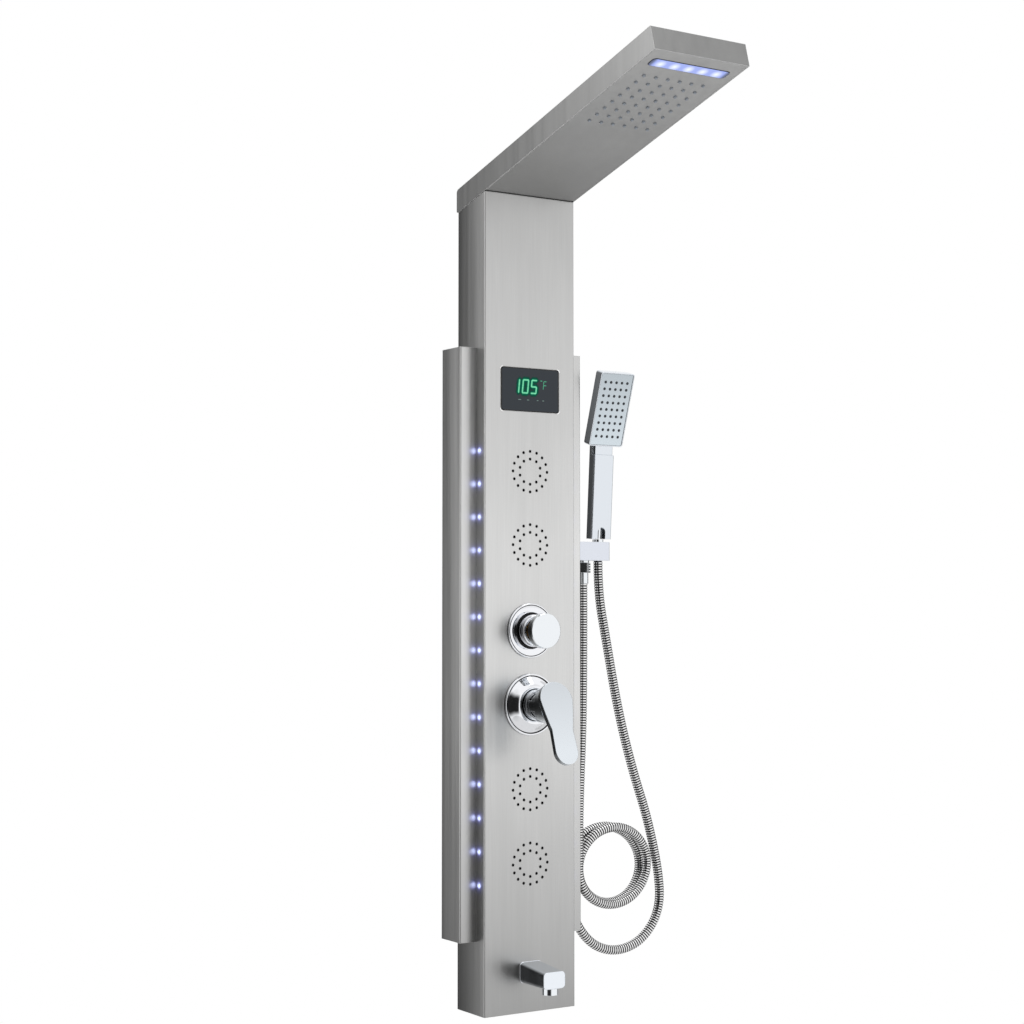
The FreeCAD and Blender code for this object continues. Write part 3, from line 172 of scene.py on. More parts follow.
def relief(tree, shader, height, distance, strength=1.0, edge=0.0):
    """Bump from a height, over edges that look rounded by a small radius."""
    bump = node(tree, "ShaderNodeBump", Distance=distance, Strength=strength)
    tree.links.new(height, bump.inputs["Height"])
    if edge:
        bevel = node(tree, "ShaderNodeBevel", samples=4, Radius=edge)
        tree.links.new(bevel.outputs["Normal"], bump.inputs["Normal"])
    tree.links.new(bump.outputs["Normal"], shader.inputs["Normal"])


def parts(tree, output):
    """One of the object's own vectors as three sockets."""
    source = tree.nodes.new("ShaderNodeTexCoord")
    split = tree.nodes.new("ShaderNodeSeparateXYZ")
    tree.links.new(source.outputs[output], split.inputs["Vector"])
    return split.outputs["X"], split.outputs["Y"], split.outputs["Z"]


def position(tree):
    """Frame coordinates as three sockets."""
    return parts(tree, "Object")


def facing(tree):
    """Heading of the surface in frame axes, as three sockets."""
    return parts(tree, "Normal")


def length(tree, *sides):
    """Root of the sum of the squares."""
    total = 0.0
    for value in sides:
        total = calc(tree, "ADD", calc(tree, "MULTIPLY", value, value), total)
    return calc(tree, "SQRT", total)


def dot(tree, first, second):
    """Dot product of a vector socket with another or with plain numbers."""
    product = tree.nodes.new("ShaderNodeVectorMath")
    product.operation = "DOT_PRODUCT"
    for socket, value in zip(product.inputs, (first, second)):
        if isinstance(value, tuple):
            socket.default_value = value
        else:
            tree.links.new(value, socket)
    return product.outputs["Value"]


# --- Materials --------------------------------------------------------------------
STEEL = (0.92, 0.92, 0.913)
CHROME = (0.86, 0.89, 0.92)
GLOW_NEAR = (0.55, 0.6, 1.0)
GLOW_FAR = (0.12, 0.12, 0.8)
GLOW_CORE = (0.0030, 0.0062)        # full and gone at these distances from a lamp
GLOW_TINT = (0.0026, 0.0070)        # colour is near and far at these distances
GLOW_DECAY = -360.0                 # of the faint glow round the core, per metre
GLOW_TAIL = 1.5                     # strength of that faint glow against the core's
COLUMN_GLOW = 0.0015                # outside the column's side: its glow's centre,
WING_GLOW = 0.0052                  # and that of the glow on a wing
FINE_GRAIN = (2600, 2600, 14)
BROAD_GRAIN = (90, 90, 2.2)
CLOUD_GRAIN = (9, 9, 3.5)
# Painted shade on the column and the wings: darker at the foot and near the top, and on
# their sides lighter at the front than at the rear.
FOOT_SHADE = (0.53, 1.0, 0.0, 0.42)      # tone low and high, between these heights
TOP_SHADE = (1.0, 0.73, 0.65, column_high.z)
SIDE_SHADES = (1.22, 0.86)               # of the column's side, at its front and rear
CHIP_PITCH = 0.124 / 5.5                # five chips and half a pitch under the arm's lens


def lamp_glow(tree, shader, side, depth, strength, stretch, behind=None):
    """Painted light of the side lamps: the steel itself glows round places a pitch apart.

    With behind, nothing farther back than that depth is lit."""
    x, y, z = position(tree)
    along = calc(tree, "WRAP", calc(tree, "SUBTRACT", z, lamp_first), lamp_pitch / 2,
                 -lamp_pitch / 2)
    beside = calc(tree, "DIVIDE", calc(tree, "SUBTRACT", calc(tree, "ABSOLUTE", x), side),
                  stretch)
    ahead = calc(tree, "SUBTRACT", y, depth)
    away = length(tree, along, beside, ahead)
    core = spread(tree, away, strength, 0.0, *GLOW_CORE)
    faint = calc(tree, "EXPONENT", calc(tree, "MULTIPLY", away, GLOW_DECAY))
    tail = calc(tree, "MULTIPLY", faint, strength * GLOW_TAIL)
    last = lamp_first + (lamp_count - 0.5) * lamp_pitch
    inside = calc(tree, "MULTIPLY",
                  calc(tree, "GREATER_THAN", z, lamp_first - lamp_pitch / 2),
                  calc(tree, "LESS_THAN", z, last))
    outside = calc(tree, "GREATER_THAN", calc(tree, "ABSOLUTE", x), half - 0.0005)
    lit = calc(tree, "MULTIPLY", calc(tree, "MULTIPLY", outside, inside),
               calc(tree, "MAXIMUM", core, tail))
    if behind:
        lit = calc(tree, "MULTIPLY", lit, calc(tree, "LESS_THAN", y, behind))
    nearness = spread(tree, away, 1.0, 0.0, *GLOW_TINT)
    tree.links.new(shade(tree, nearness, GLOW_FAR, GLOW_NEAR),
                   shader.inputs["Emission Color"])
    tree.links.new(lit, shader.inputs["Emission Strength"])


def near_edge(tree, radius):
    """1 on a surface's sharp edges, falling to 0 about a radius away from them."""
    bevel = node(tree, "ShaderNodeBevel", samples=6, Radius=radius)
    flat = tree.nodes.new("ShaderNodeNewGeometry")
    product = dot(tree, bevel.outputs["Normal"], flat.outputs["True Normal"])
    return spread(tree, product, 1.0, 0.0, 0.8, 0.985)


def steel(name, tone, turn=0.0, rear=0.3, reach=(-0.055, -0.005), face=None,
          face_shade=1.0, end_shade=1.0):
    """Steel brushed along the column, or along the arm when turned.

    It darkens to its rear tone over a reach in Y: painted shade towards the wall. With a
    face, painted shade also darkens it at the foot and near the top and runs its sides from
    light at the front to dark at the rear, and the face in front has its own painted tone;
    so has the arm's end. Sharp edges get a painted highlight and a painted dark band beside
    them."""
    made, shader = material(name, STEEL, 0.34, 1.0)
    tree = made.node_tree
    fine = noise(tree, coordinates(tree, FINE_GRAIN, turn), detail=4)
    broad = noise(tree, coordinates(tree, BROAD_GRAIN, turn), detail=3)
    cloud = noise(tree, coordinates(tree, CLOUD_GRAIN, turn), detail=2)
    mixed = calc(tree, "ADD", calc(tree, "MULTIPLY", fine, 0.4),
                 calc(tree, "ADD", calc(tree, "MULTIPLY", broad, 0.25),
                      calc(tree, "MULTIPLY", cloud, 0.35)))
    _, y, z = position(tree)
    brushed = spread(tree, mixed, 0.92 * tone, 1.06 * tone, 0.38, 0.62)
    # Painted shade: darker towards the rear, over the reach in Y.
    amount = calc(tree, "MULTIPLY", brushed, spread(tree, y, 1.0, rear, *reach))
    rough = spread(tree, broad, 0.28, 0.38)
    # Painted shade: darker at the foot and near the top, sides from light at the front to
    # dark at the rear, and the face in front its own tone.
    if face:
        height_shade = calc(tree, "MULTIPLY", spread(tree, z, *FOOT_SHADE),
                    spread(tree, z, *TOP_SHADE))
        amount = calc(tree, "MULTIPLY", amount, height_shade)
        on_face = calc(tree, "LESS_THAN", y, face + 0.0003)
        side_shade = spread(tree, y, *SIDE_SHADES, front, wing_front)
        amount = calc(tree, "MULTIPLY", amount, mix(tree, on_face, side_shade, face_shade))
    # Painted shade on the arm's end face.
    if end_shade != 1.0:
        at_end = calc(tree, "LESS_THAN", facing(tree)[1], -0.6)
        amount = calc(tree, "MULTIPLY", amount, mix(tree, at_end, 1.0, end_shade))
    # Painted highlight on the sharp edges, which are also made smoother, and a painted dark
    # band just beside them.
    edge = near_edge(tree, 0.0011)
    beside = calc(tree, "SUBTRACT", near_edge(tree, 0.0026), edge)
    amount = calc(tree, "MULTIPLY", amount, spread(tree, beside, 1.0, 0.72, 0.0, 0.6))
    amount = mix(tree, edge, amount, 0.95)
    rough = mix(tree, edge, rough, 0.14)
    tree.links.new(shade(tree, amount, (0, 0, 0), STEEL), shader.inputs["Base Color"])
    tree.links.new(rough, shader.inputs["Roughness"])
    relief(tree, shader, fine, 0.00004, 0.5, edge=0.0009)
    return made, shader


def chrome(name, colour=CHROME, rough=0.045, edge=0.0006, sideways_shade=1.0, height_shade=None):
    """Polished metal; flank is painted shade on what faces sideways, and fade is painted
    shade, a tone that changes over a span in Z.
    """
    made, shader = material(name, colour, rough, 1.0)
    tree = made.node_tree
    haze = noise(tree, coordinates(tree, (60, 60, 60)), detail=4)
    tree.links.new(spread(tree, haze, rough * 0.7, rough * 1.5),
                   shader.inputs["Roughness"])
    # Painted shade: the flank tone on what faces sideways, and the fade tone by height.
    sideways = calc(tree, "ABSOLUTE", facing(tree)[0])
    amount = spread(tree, sideways, 1.0, sideways_shade, 0.5, 0.9)
    if height_shade:
        amount = calc(tree, "MULTIPLY", amount, spread(tree, position(tree)[2], *height_shade))
    tree.links.new(shade(tree, amount, (0, 0, 0), colour), shader.inputs["Base Color"])
    relief(tree, shader, haze, 0.00001, 0.4, edge=edge)
    return made


def brass():
    """Cast brass of the fittings behind the plate."""
    made, shader = material("brass", (0.72, 0.56, 0.3), 0.32, 1.0)
    tree = made.node_tree
    grain = noise(tree, coordinates(tree, (240, 240, 240)), detail=5)
    tree.links.new(shade(tree, grain, (0.52, 0.38, 0.18), (0.82, 0.66, 0.38)),
                   shader.inputs["Base Color"])
    relief(tree, shader, grain, 0.0002, 0.6, edge=0.0005)
    return made


def moulded(name, colour, rough, edge=0.0005, shine=0.5):
    """Rubber or plastic with a fine moulded grain."""
    made, shader = material(name, colour, rough)
    shader.inputs["Specular IOR Level"].default_value = shine
    tree = made.node_tree
    grain = noise(tree, coordinates(tree, (900, 900, 900)), detail=3)
    stain = noise(tree, coordinates(tree, (35, 35, 35)), detail=4)
    tree.links.new(shade(tree, stain, [value * 0.85 for value in colour],
                         [min(1.0, value * 1.12) for value in colour]),
                   shader.inputs["Base Color"])
    tree.links.new(spread(tree, stain, rough * 0.85, min(1.0, rough * 1.15)),
                   shader.inputs["Roughness"])
    relief(tree, shader, grain, 0.00006, 0.5, edge=edge)
    return made


def lamp_plastic():
    """Clear lamp strip, which shines where its domes stand out of the column."""
    made, shader = material("lamp_plastic", (0.45, 0.5, 0.7), 0.12)
    tree = made.node_tree
    across = calc(tree, "ABSOLUTE", position(tree)[0])
    out = calc(tree, "GREATER_THAN", across, half - 0.0006)
    facets = noise(tree, coordinates(tree, (900, 900, 900)), detail=1)
    shader.inputs["Emission Color"].default_value = (0.6, 0.7, 1.0, 1)
    tree.links.new(calc(tree, "MULTIPLY", out, spread(tree, facets, 0.75, 1.35)),
                   shader.inputs["Emission Strength"])
    return made


def light_plastic():
    """Lens of the arm's lamp, brighter over each of its chips and dark at its ends."""
    low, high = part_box("light_lens")
    made, shader = material("light_plastic", (0.1, 0.12, 0.2), 0.15)
    tree = made.node_tree
    x, y, _ = position(tree)
    across = calc(tree, "SUBTRACT", y, (low.y + high.y) / 2)
    along = calc(tree, "WRAP", x, CHIP_PITCH / 2, -CHIP_PITCH / 2)
    spot = spread(tree, length(tree, along, across), 1.0, 0.0, 0.001, 0.009)
    tree.links.new(shade(tree, spot, (0.3, 0.37, 0.8), (0.86, 0.91, 1.0)),
                   shader.inputs["Emission Color"])
    ends = spread(tree, calc(tree, "ABSOLUTE", x), 0.95, 0.1, 0.054, 0.059)
    tree.links.new(ends, shader.inputs["Emission Strength"])
    return made


def dark_glass():
    """Tinted window, black along the edge of its opening."""
    made, shader = material("dark_glass", (0.018, 0.024, 0.03), 0.06)
    tree = made.node_tree
    x, _, z = position(tree)
    centre = (window_low + window_high) / 2
    shares = []
    for value, middle, limit in ((x, centre.x, window_high.x),
                                 (z, centre.z, window_high.z)):
        off = calc(tree, "ABSOLUTE", calc(tree, "SUBTRACT", value, middle))
        shares.append(calc(tree, "DIVIDE", off, limit - middle - window_flange))
    border = spread(tree, calc(tree, "MAXIMUM", *shares), 0, 1, 0.95, 0.97)
    tree.links.new(shade(tree, border, (0.008, 0.016, 0.026), (0.001, 0.001, 0.002)),
                   shader.inputs["Base Color"])
    return made


def hose_metal():
    """Bright crests of the hose's steel spiral."""
    made, shader = material("hose_metal", (0.9, 0.9, 0.9), 0.15, 1.0)
    tree = made.node_tree
    grain = noise(tree, coordinates(tree, (500, 500, 500)), detail=3)
    tree.links.new(shade(tree, grain, (0.74, 0.74, 0.74), (0.94, 0.94, 0.94)),
                   shader.inputs["Base Color"])
    tree.links.new(spread(tree, grain, 0.08, 0.2), shader.inputs["Roughness"])
    return made


def figures(name, colour, strength):
    """Shining material of the figures, which lie on the window."""
    made, shader = material(name, (0.002, 0.004, 0.003), 0.6)
    shader.inputs["Specular IOR Level"].default_value = 0.0
    tree = made.node_tree
    flicker = noise(tree, coordinates(tree, (300, 300, 300)), detail=2)
    shader.inputs["Emission Color"].default_value = (*colour, 1)
    tree.links.new(spread(tree, flicker, 0.85 * strength, 1.1 * strength),
                   shader.inputs["Emission Strength"])
    return made


def paint(made, *names):
    """Put one material on the nodes of these names."""
    for name in names:
        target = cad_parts[name]
        target.data.materials.clear()
        target.data.materials.append(made)


def smooth(obj, degrees=35):
    """Shade smooth, but for edges sharper than the angle."""
    obj.data.shade_smooth()
    obj.data.set_sharp_from_angle(angle=math.radians(degrees))


def dress_nodes():
    """Give each CAD node its finish."""
    # Painted shade on the steels: each darkens towards the rear, the column and the wings
    # by height and on their sides, the arm on its end, with painted highlights on their
    # edges. The lower tones of the column, the foot and the arm against the wings are
    # painted shade as well.
    column, column_shader = steel("column_steel", 0.75, face=front)
    # Painted light of the side lamps on the column's sides.
    lamp_glow(column.node_tree, column_shader, half + COLUMN_GLOW, lamp_y, 0.95, 1.0)
    paint(column, "column_shell")
    wings, wing_shader = steel("wing_steel", 0.93, rear=0.5, face=wing_front,
                               face_shade=0.86)
    # Painted light of the side lamps on the wings' fronts.
    lamp_glow(wings.node_tree, wing_shader, half + WING_GLOW, wing_front, 0.32, 1.4,
              wing_front + 0.0004)
    paint(wings, "left_wing", "right_wing")
    paint(steel("foot_steel", 0.74)[0], "foot_plate")
    paint(steel("arm_steel", 0.66, -math.pi / 2 - arm_slope, 0.5, (cad_low.y, 0.0),
                end_shade=0.5)[0], "arm_cover", "arm_plate")
    paint(steel("zinc_steel", 0.66, rear=0.9)[0], "wall_brackets", "hanger_rails")
    # Painted shade on the chrome: a flank tone below 1 darkens what faces sideways, and the
    # lever and the spray plate change tone with height.
    paint(chrome("chrome"), "escutcheons", "aerator", "hose_nut", "handset_connector")
    paint(chrome("knob_chrome", sideways_shade=0.12), "diverter_knob", "mixer_turret")
    paint(chrome("nut_chrome", sideways_shade=0.15), "outlet_nut")
    paint(chrome("spout_chrome", (0.84, 0.88, 0.93), 0.06, 0.0016, 0.35), "spout_body")
    paint(chrome("lever_chrome", (0.9, 0.95, 1.0), 0.08, 0.0014, 0.1,
                 (1.0, 0.84, mixer_height - 0.06, mixer_height + 0.03)), "mixer_lever")
    paint(chrome("holder_chrome", (0.74, 0.77, 0.84), 0.1, 0.0014), "hand_holder")
    paint(chrome("handset_chrome", (0.76, 0.8, 0.85), 0.08, 0.0014, 0.3), "handset_shell")
    paint(chrome("spray_plate", (0.66, 0.73, 0.78), 0.16, 0.0006, 1.0,
                 (1.0, 0.75, face_low.z, face_high.z)), "handset_face")
    paint(brass(), "valve_bodies", "cartridges", "pipe_fittings")
    paint(moulded("seal_rubber", (0.012, 0.012, 0.013), 0.6, shine=0.2), "arm_gasket",
          "light_gasket", "jet_pads")
    paint(moulded("nozzle_silicone", (0.3, 0.33, 0.37), 0.4), "rain_nozzles")
    paint(moulded("spray_silicone", (0.05, 0.055, 0.065), 0.4), "handset_nozzles")
    paint(moulded("hose_rubber", (0.03, 0.03, 0.033), 0.5), "inner_hoses")
    paint(moulded("black_plastic", (0.03, 0.03, 0.033), 0.42), "display_module",
          "generator_case")
    paint(moulded("white_plastic", (0.75, 0.76, 0.77), 0.4), "rain_chamber", "jet_chambers",
          "generator_rotor")
    paint(moulded("board", (0.78, 0.8, 0.78), 0.35), "light_board", "lamp_board_left",
          "lamp_board_right")
    paint(lamp_plastic(), "lamp_lenses_left", "lamp_lenses_right")
    paint(light_plastic(), "light_lens")
    paint(dark_glass(), "display_window")
    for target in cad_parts.values():
        smooth(target)


# --- Mesh helpers -----------------------------------------------------------------
def circle(radius, sides):
    """Corners of a circle as pairs."""
    turns = [2 * math.pi * side / sides for side in range(sides)]
    return [(radius * math.cos(turn), radius * math.sin(turn)) for turn in turns]


def band(low, sides):
    """Faces between the ring of points that starts at low and the next ring."""
    return [(low + side, low + (side + 1) % sides,
             low + sides + (side + 1) % sides, low + sides + side)
            for side in range(sides)]


def piece(name, points, faces, made, body):
    """Visible mesh that rides on a body, if it has one."""
    mesh = bpy.data.meshes.new(name)
    mesh.from_pydata(points, [], faces)
    mesh.update()
    mesh.materials.append(made)
    obj = bpy.data.objects.new(name, mesh)
    bpy.context.scene.collection.objects.link(obj)
    if body:
        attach(obj, body)
    return obj


def bars(runs, width, y, slant):
    """Flat bars with pointed ends along (x, z) runs, as one mesh."""
    points = []
    faces = []
    base_height = min(min(z0, z1) for (_, z0), (_, z1) in runs)
    for (x0, z0), (x1, z1) in runs:
        start = Vector((x0, z0))
        end = Vector((x1, z1))
        along = (end - start).normalized()
        side = Vector((-along.y, along.x)) * (width / 2)
        tip = along * (width / 2)
        ring = (start - tip, start + side, end + side, end + tip, end - side, start - side)
        base = len(points)
        points += [(p.x + slant * (p.y - base_height), y, p.y) for p in ring]
        faces.append(tuple(range(base, len(points))))
    return points, faces


def turned(name, profile, height, finishes, body):
    """Piece turned about a level axis out of the front plate.

    The profile's points are (radius, reach, finish), and a finish is that of the ring
    which ends there."""
    sides = 96
    points = []
    faces = []
    rings = []
    for level, (radius, reach, finish) in enumerate(profile):
        points += [(x, front - reach, height + z) for x, z in circle(radius, sides)]
        if level:
            faces += band((level - 1) * sides, sides)
            rings += [finish] * sides
    made = piece(name, points, faces, finishes[0], body)
    for extra in finishes[1:]:
        made.data.materials.append(extra)
    for polygon, finish in zip(made.data.polygons, rings):
        polygon.material_index = finish
    return made


# --- Escutcheons --------------------------------------------------------------------
# Radius, reach out of the front plate, and finish: 0 is chrome and 1 is dark rubber, a seal
# against the plate and painted shade in the grooves and the bore.
DIVERTER_ROSE = ((0.0388, 0.0, 1), (0.0388, 0.0009, 1), (0.0390, 0.0010, 0),
                 (0.0390, 0.0018, 0), (0.0386, 0.0026, 0), (0.0378, 0.0031, 0),
                 (0.0368, 0.0032, 0), (0.0364, 0.0029, 1), (0.0356, 0.0028, 1),
                 (0.0352, 0.0031, 0), (0.0310, 0.0034, 0), (0.0270, 0.0035, 0),
                 (0.0262, 0.0032, 0), (0.0258, 0.0022, 1), (0.0236, 0.0018, 1),
                 (0.0234, 0.0022, 0), (0.0232, 0.0080, 0), (0.0230, 0.0150, 0),
                 (0.0224, 0.0172, 0), (0.0214, 0.0180, 0), (0.0190, 0.0180, 0),
                 (0.0180, 0.0174, 0), (0.0176, 0.0160, 1), (0.0174, 0.0110, 1),
                 (0.0146, 0.0110, 1))
MIXER_ROSE = ((0.0438, 0.0, 1), (0.0438, 0.0009, 1), (0.0440, 0.0010, 0),
              (0.0440, 0.0022, 0), (0.0435, 0.0032, 0), (0.0425, 0.0037, 0),
              (0.0414, 0.0037, 0), (0.0409, 0.0032, 1), (0.0400, 0.0031, 1),
              (0.0396, 0.0036, 0), (0.0384, 0.0044, 0), (0.0362, 0.0062, 0),
              (0.0338, 0.0086, 0), (0.0316, 0.0106, 0), (0.0296, 0.0122, 0),
              (0.0280, 0.0132, 0), (0.0264, 0.0138, 0), (0.0248, 0.0140, 0),
              (0.0234, 0.0138, 0), (0.0228, 0.0130, 0), (0.0225, 0.0110, 1),
              (0.0225, 0.0064, 1), (0.0180, 0.0062, 1))
SPOUT_FLANGE = (0.0188, 0.0153, 0.0015, 0.0065)     # half width, half height, reach, corner


def spout_flange(made):
    """Thin plate with round corners behind the spout."""
    half_width, half_height, reach, corner = SPOUT_FLANGE
    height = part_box("escutcheons")[0].z + half_height
    points = []
    arc = 8
    for inset, depth in ((0.0, 0.0), (0.0, reach * 0.6), (0.0005, reach), (0.004, reach)):
        for quarter in range(4):
            for step in range(arc + 1):
                turn = math.pi / 2 * (quarter + step / arc)
                radius = max(corner - inset, 0.001)
                sx = 1 if quarter in (0, 3) else -1
                sz = 1 if quarter in (0, 1) else -1
                points.append((sx * (half_width - inset - radius)
                               + radius * math.cos(turn), front - depth,
                               height + sz * (half_height - inset - radius)
                               + radius * math.sin(turn)))
    count = 4 * (arc + 1)
    faces = [face for row in (0, count, 2 * count) for face in band(row, count)]
    return piece("spout_flange", points, faces, made, "panel")


def escutcheons():
    """Polished roses with rounded rims, and the thin plate behind the spout."""
    # Painted shade on the roses: the chrome darkens where it faces sideways, and the dark
    # finish lies in their grooves and bore as well as on the seal against the plate.
    bright = chrome("rose_chrome", (0.9, 0.91, 0.94), edge=0.0, sideways_shade=0.3)
    dark = moulded("rose_seal_and_shade", (0.006, 0.006, 0.007), 0.5, edge=0.0, shine=0.3)
    finishes = (bright, dark)
    roses = [turned("diverter_rose", DIVERTER_ROSE, diverter_height, finishes, "panel"),
             turned("mixer_rose", MIXER_ROSE, mixer_height, finishes, "panel"),
             spout_flange(bright)]
    for rose in roses:
        smooth(rose, 50)
        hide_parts("escutcheons")


# --- Display figures ----------------------------------------------------------------
SEGMENTS = {"a": ((0, 1), (1, 1)), "b": ((1, 1), (1, 0.5)), "c": ((1, 0.5), (1, 0)),
            "d": ((0, 0), (1, 0)), "e": ((0, 0), (0, 0.5)), "f": ((0, 0.5), (0, 1)),
            "g": ((0, 0.5), (1, 0.5))}
FIGURES = (("bc", -0.0300, -0.0200),        # segments, left, right
           ("abcdef", -0.0136, -0.0046),
           ("acdfg", 0.0012, 0.0096))
FIGURE_LOW = 0.8764
FIGURE_HIGH = 0.8951
FIGURE_SLANT = 0.1
UNIT = (0.0222, 0.0268, 0.8828, 0.8944)     # left, right, low, high
MARKS = ((-0.0180, 0.0042), (-0.0038, 0.0030),      # middle, width
         (0.0126, 0.0022), (0.0222, 0.0026))
MARKS_LOW = 0.8665
# Width and colour of the dim painted glow round the figures.
FIGURE_GLOW = ((0.0045, (0.003, 0.15, 0.085)), (0.0070, (0.004, 0.09, 0.052)),
        (0.0100, (0.016, 0.056, 0.045)))


def display_figures():
    """Reading in seven-segment figures, with its unit, a row of small marks and a dim
    painted glow round the figures.
    """
    gap = 0.0004

    def stroke(letter, left, right, low, high):
        (x0, z0), (x1, z1) = SEGMENTS[letter]
        start = Vector((left + x0 * (right - left), low + z0 * (high - low)))
        end = Vector((left + x1 * (right - left), low + z1 * (high - low)))
        inset = (end - start).normalized() * gap
        return tuple(start + inset), tuple(end - inset)

    runs = [stroke(letter, left, right, FIGURE_LOW, FIGURE_HIGH)
            for letters, left, right in FIGURES for letter in letters]
    unit = [stroke(letter, *UNIT) for letter in "aefg"]
    unit.append(((0.0165, 0.8950), (0.0190, 0.8950)))
    low_marks = [((x - width / 2, MARKS_LOW), (x + width / 2, MARKS_LOW))
                 for x, width in MARKS]
    y = window_low.y
    mint = figures("figures", (0.2, 0.74, 0.42), 1.0)
    dim = figures("dim_figures", (0.12, 0.5, 0.3), 0.75)
    grey = figures("grey_marks", (0.3, 0.42, 0.38), 0.6)
    for name, strokes, width, depth, made in (
            ("display_figures", runs, 0.0021, 0.00012, mint),
            ("display_unit", unit, 0.0013, 0.00012, dim),
            ("display_marks", low_marks, 0.0011, 0.00008, grey)):
        points, faces = bars(strokes, width, y - depth, FIGURE_SLANT)
        piece(name, points, faces, made, "panel")
    for level, (width, colour) in enumerate(FIGURE_GLOW):
        points, faces = bars(runs, width, y - 0.00008 + 0.00002 * level, FIGURE_SLANT)
        made = figures("haze_{}".format(level), colour, 1.0)
        piece("display_haze_{}".format(level), points, faces, made, "panel")


def display_rim():
    """Bright edge of the window's opening and the black line just inside it."""
    centre = (window_low + window_high) / 2
    wide = (window_high.x - window_low.x) / 2 - window_flange
    tall = (window_high.z - window_low.z) / 2 - window_flange
    bright = chrome("rim_chrome", (0.98, 0.98, 0.98), 0.05, 0.0)
    black = moulded("rim_black", (0.003, 0.003, 0.004), 0.8, edge=0.0, shine=0.1)
    for name, made, grow, width, depth in (
            ("display_rim", bright, 0.0003, 0.0013, 0.0002),
            ("display_line", black, -0.0014, 0.0014, 0.00045)):
        corners = []
        for reach in (grow, grow + width):
            for sx, sz in ((-1, -1), (1, -1), (1, 1), (-1, 1)):
                for step in range(5):
                    turn = math.radians(90 * step / 4)
                    corner = 0.0032 + reach
                    first = (math.cos(turn), math.sin(turn))
                    if sx * sz > 0:
                        first = (first[1], first[0])
                    px = sx * (wide + reach - corner + corner * first[0])
                    pz = sz * (tall + reach - corner + corner * first[1])
                    corners.append((centre.x + px, front - depth, centre.z + pz))
        piece(name, corners, band(0, len(corners) // 2), made, "panel")


# --- Body jets ----------------------------------------------------------------------
JET_HEIGHTS = (0.764, 0.6592, 0.3127, 0.2079)
JET_RINGS = ((10, 0.018), (16, 0.029))      # count and radius of a ring of tips
# Distance behind the front plate and radius, from a tip's rim to its hole.
JET_PROFILE = ((-0.00002, 0.0022), (-0.0003, 0.0019), (-0.0003, 0.0011),
               (0.0006, 0.0006))


def jet_tips():
    """Short silicone tips that stand in the holes of the four jets."""
    points = []
    faces = []
    sides = 10
    for height in JET_HEIGHTS:
        for count, ring in JET_RINGS:
            for step in range(count):
                angle = 2 * math.pi * step / count
                x = ring * math.sin(angle)
                z = height + ring * math.cos(angle)
                for level, (sunk, radius) in enumerate(JET_PROFILE):
                    points += [(x + across, front + sunk, z + up)
                               for across, up in circle(radius, sides)]
                    if level:
                        faces += band(len(points) - 2 * sides, sides)
                faces.append(tuple(range(len(points) - sides, len(points))))
    made = moulded("jet_silicone", (0.004, 0.004, 0.005), 0.7, edge=0.0, shine=0.1)
    smooth(piece("jet_tips", points, faces, made, "panel"))


# --- Spray head -----------------------------------------------------------------------
HEAD_LEAN = math.radians(17.6)
SPRAY_COLUMNS = 5
SPRAY_ROWS = 9
SPRAY_PITCH = (0.0098, 0.0102)
FACE_HALF = 0.001                   # half of the face plate's thickness
# Distance behind the face and radius, from a collar's rim to its tip.
TIP_PROFILE = ((0.0001, 0.0023), (-0.0004, 0.0021), (-0.0010, 0.0013))


def spray_tips():
    """Dark rubber collars of the spray nozzles on the head's face."""
    middle = (face_low + face_high) / 2
    tilt = Matrix.Rotation(HEAD_LEAN, 3, "X")
    points = []
    faces = []
    sides = 12
    for row in range(SPRAY_ROWS):
        for column in range(SPRAY_COLUMNS):
            x = (column - (SPRAY_COLUMNS - 1) / 2) * SPRAY_PITCH[0]
            z = (row - (SPRAY_ROWS - 1) / 2) * SPRAY_PITCH[1]
            for level, (proud, radius) in enumerate(TIP_PROFILE):
                points += [middle + tilt @ Vector((x + across, proud - FACE_HALF, z + up))
                           for across, up in circle(radius, sides)]
                if level:
                    faces += band(len(points) - 2 * sides, sides)
            faces.append(tuple(range(len(points) - sides, len(points))))
    made = moulded("spray_rubber", (0.02, 0.023, 0.03), 0.35)
    smooth(piece("spray_tips", points, faces, made, "hand_shower"))


# --- Hose -----------------------------------------------------------------------------
HOSE_RADIUS = 0.007
HOSE_EXIT = (0.124, -0.030, 0.605)
HOSE_END = (0.1515, -0.030, 0.6393)
# Control points from the outlet down to the coil, and from the coil up to the holder.
SUPPLY_ROUTE = ((0.124, -0.030, 0.525), (0.122, -0.031, 0.400),
                (0.1155, -0.033, 0.305), (0.1125, -0.0348, 0.240),
                (0.1125, -0.0348, 0.201))
RISE_ROUTE = ((0.1125, -0.0082, 0.173), (0.1105, -0.0082, 0.1325),
              (0.1405, -0.0115, 0.077), (0.1855, -0.015, 0.056),
              (0.234, -0.0175, 0.0655), (0.2675, -0.0195, 0.102),
              (0.273, -0.021, 0.151), (0.249, -0.022, 0.249),
              (0.2175, -0.024, 0.328), (0.189, -0.0265, 0.420),
              (0.167, -0.0285, 0.522), (0.1515, -0.030, 0.592))
COIL_CENTRE = (0.1745, -0.0215, 0.187)
COIL_HALF_WIDTH = 0.062
COIL_HALF_HEIGHT = 0.056
COIL_TURNS = 2
COIL_SWAY = 0.0133
COIL_SHIFT = 0.0095
TURN_POINTS = 16
RIB_PITCH = 0.0038
RIB_PROFILE = (0.86, 0.985, 1.0, 1.0, 0.985, 0.88)      # shares of the radius
# The other steps take a near-black material: painted shade in the grooves.
RIB_CREST = (2, 3, 4)                                   # bright steps of the profile


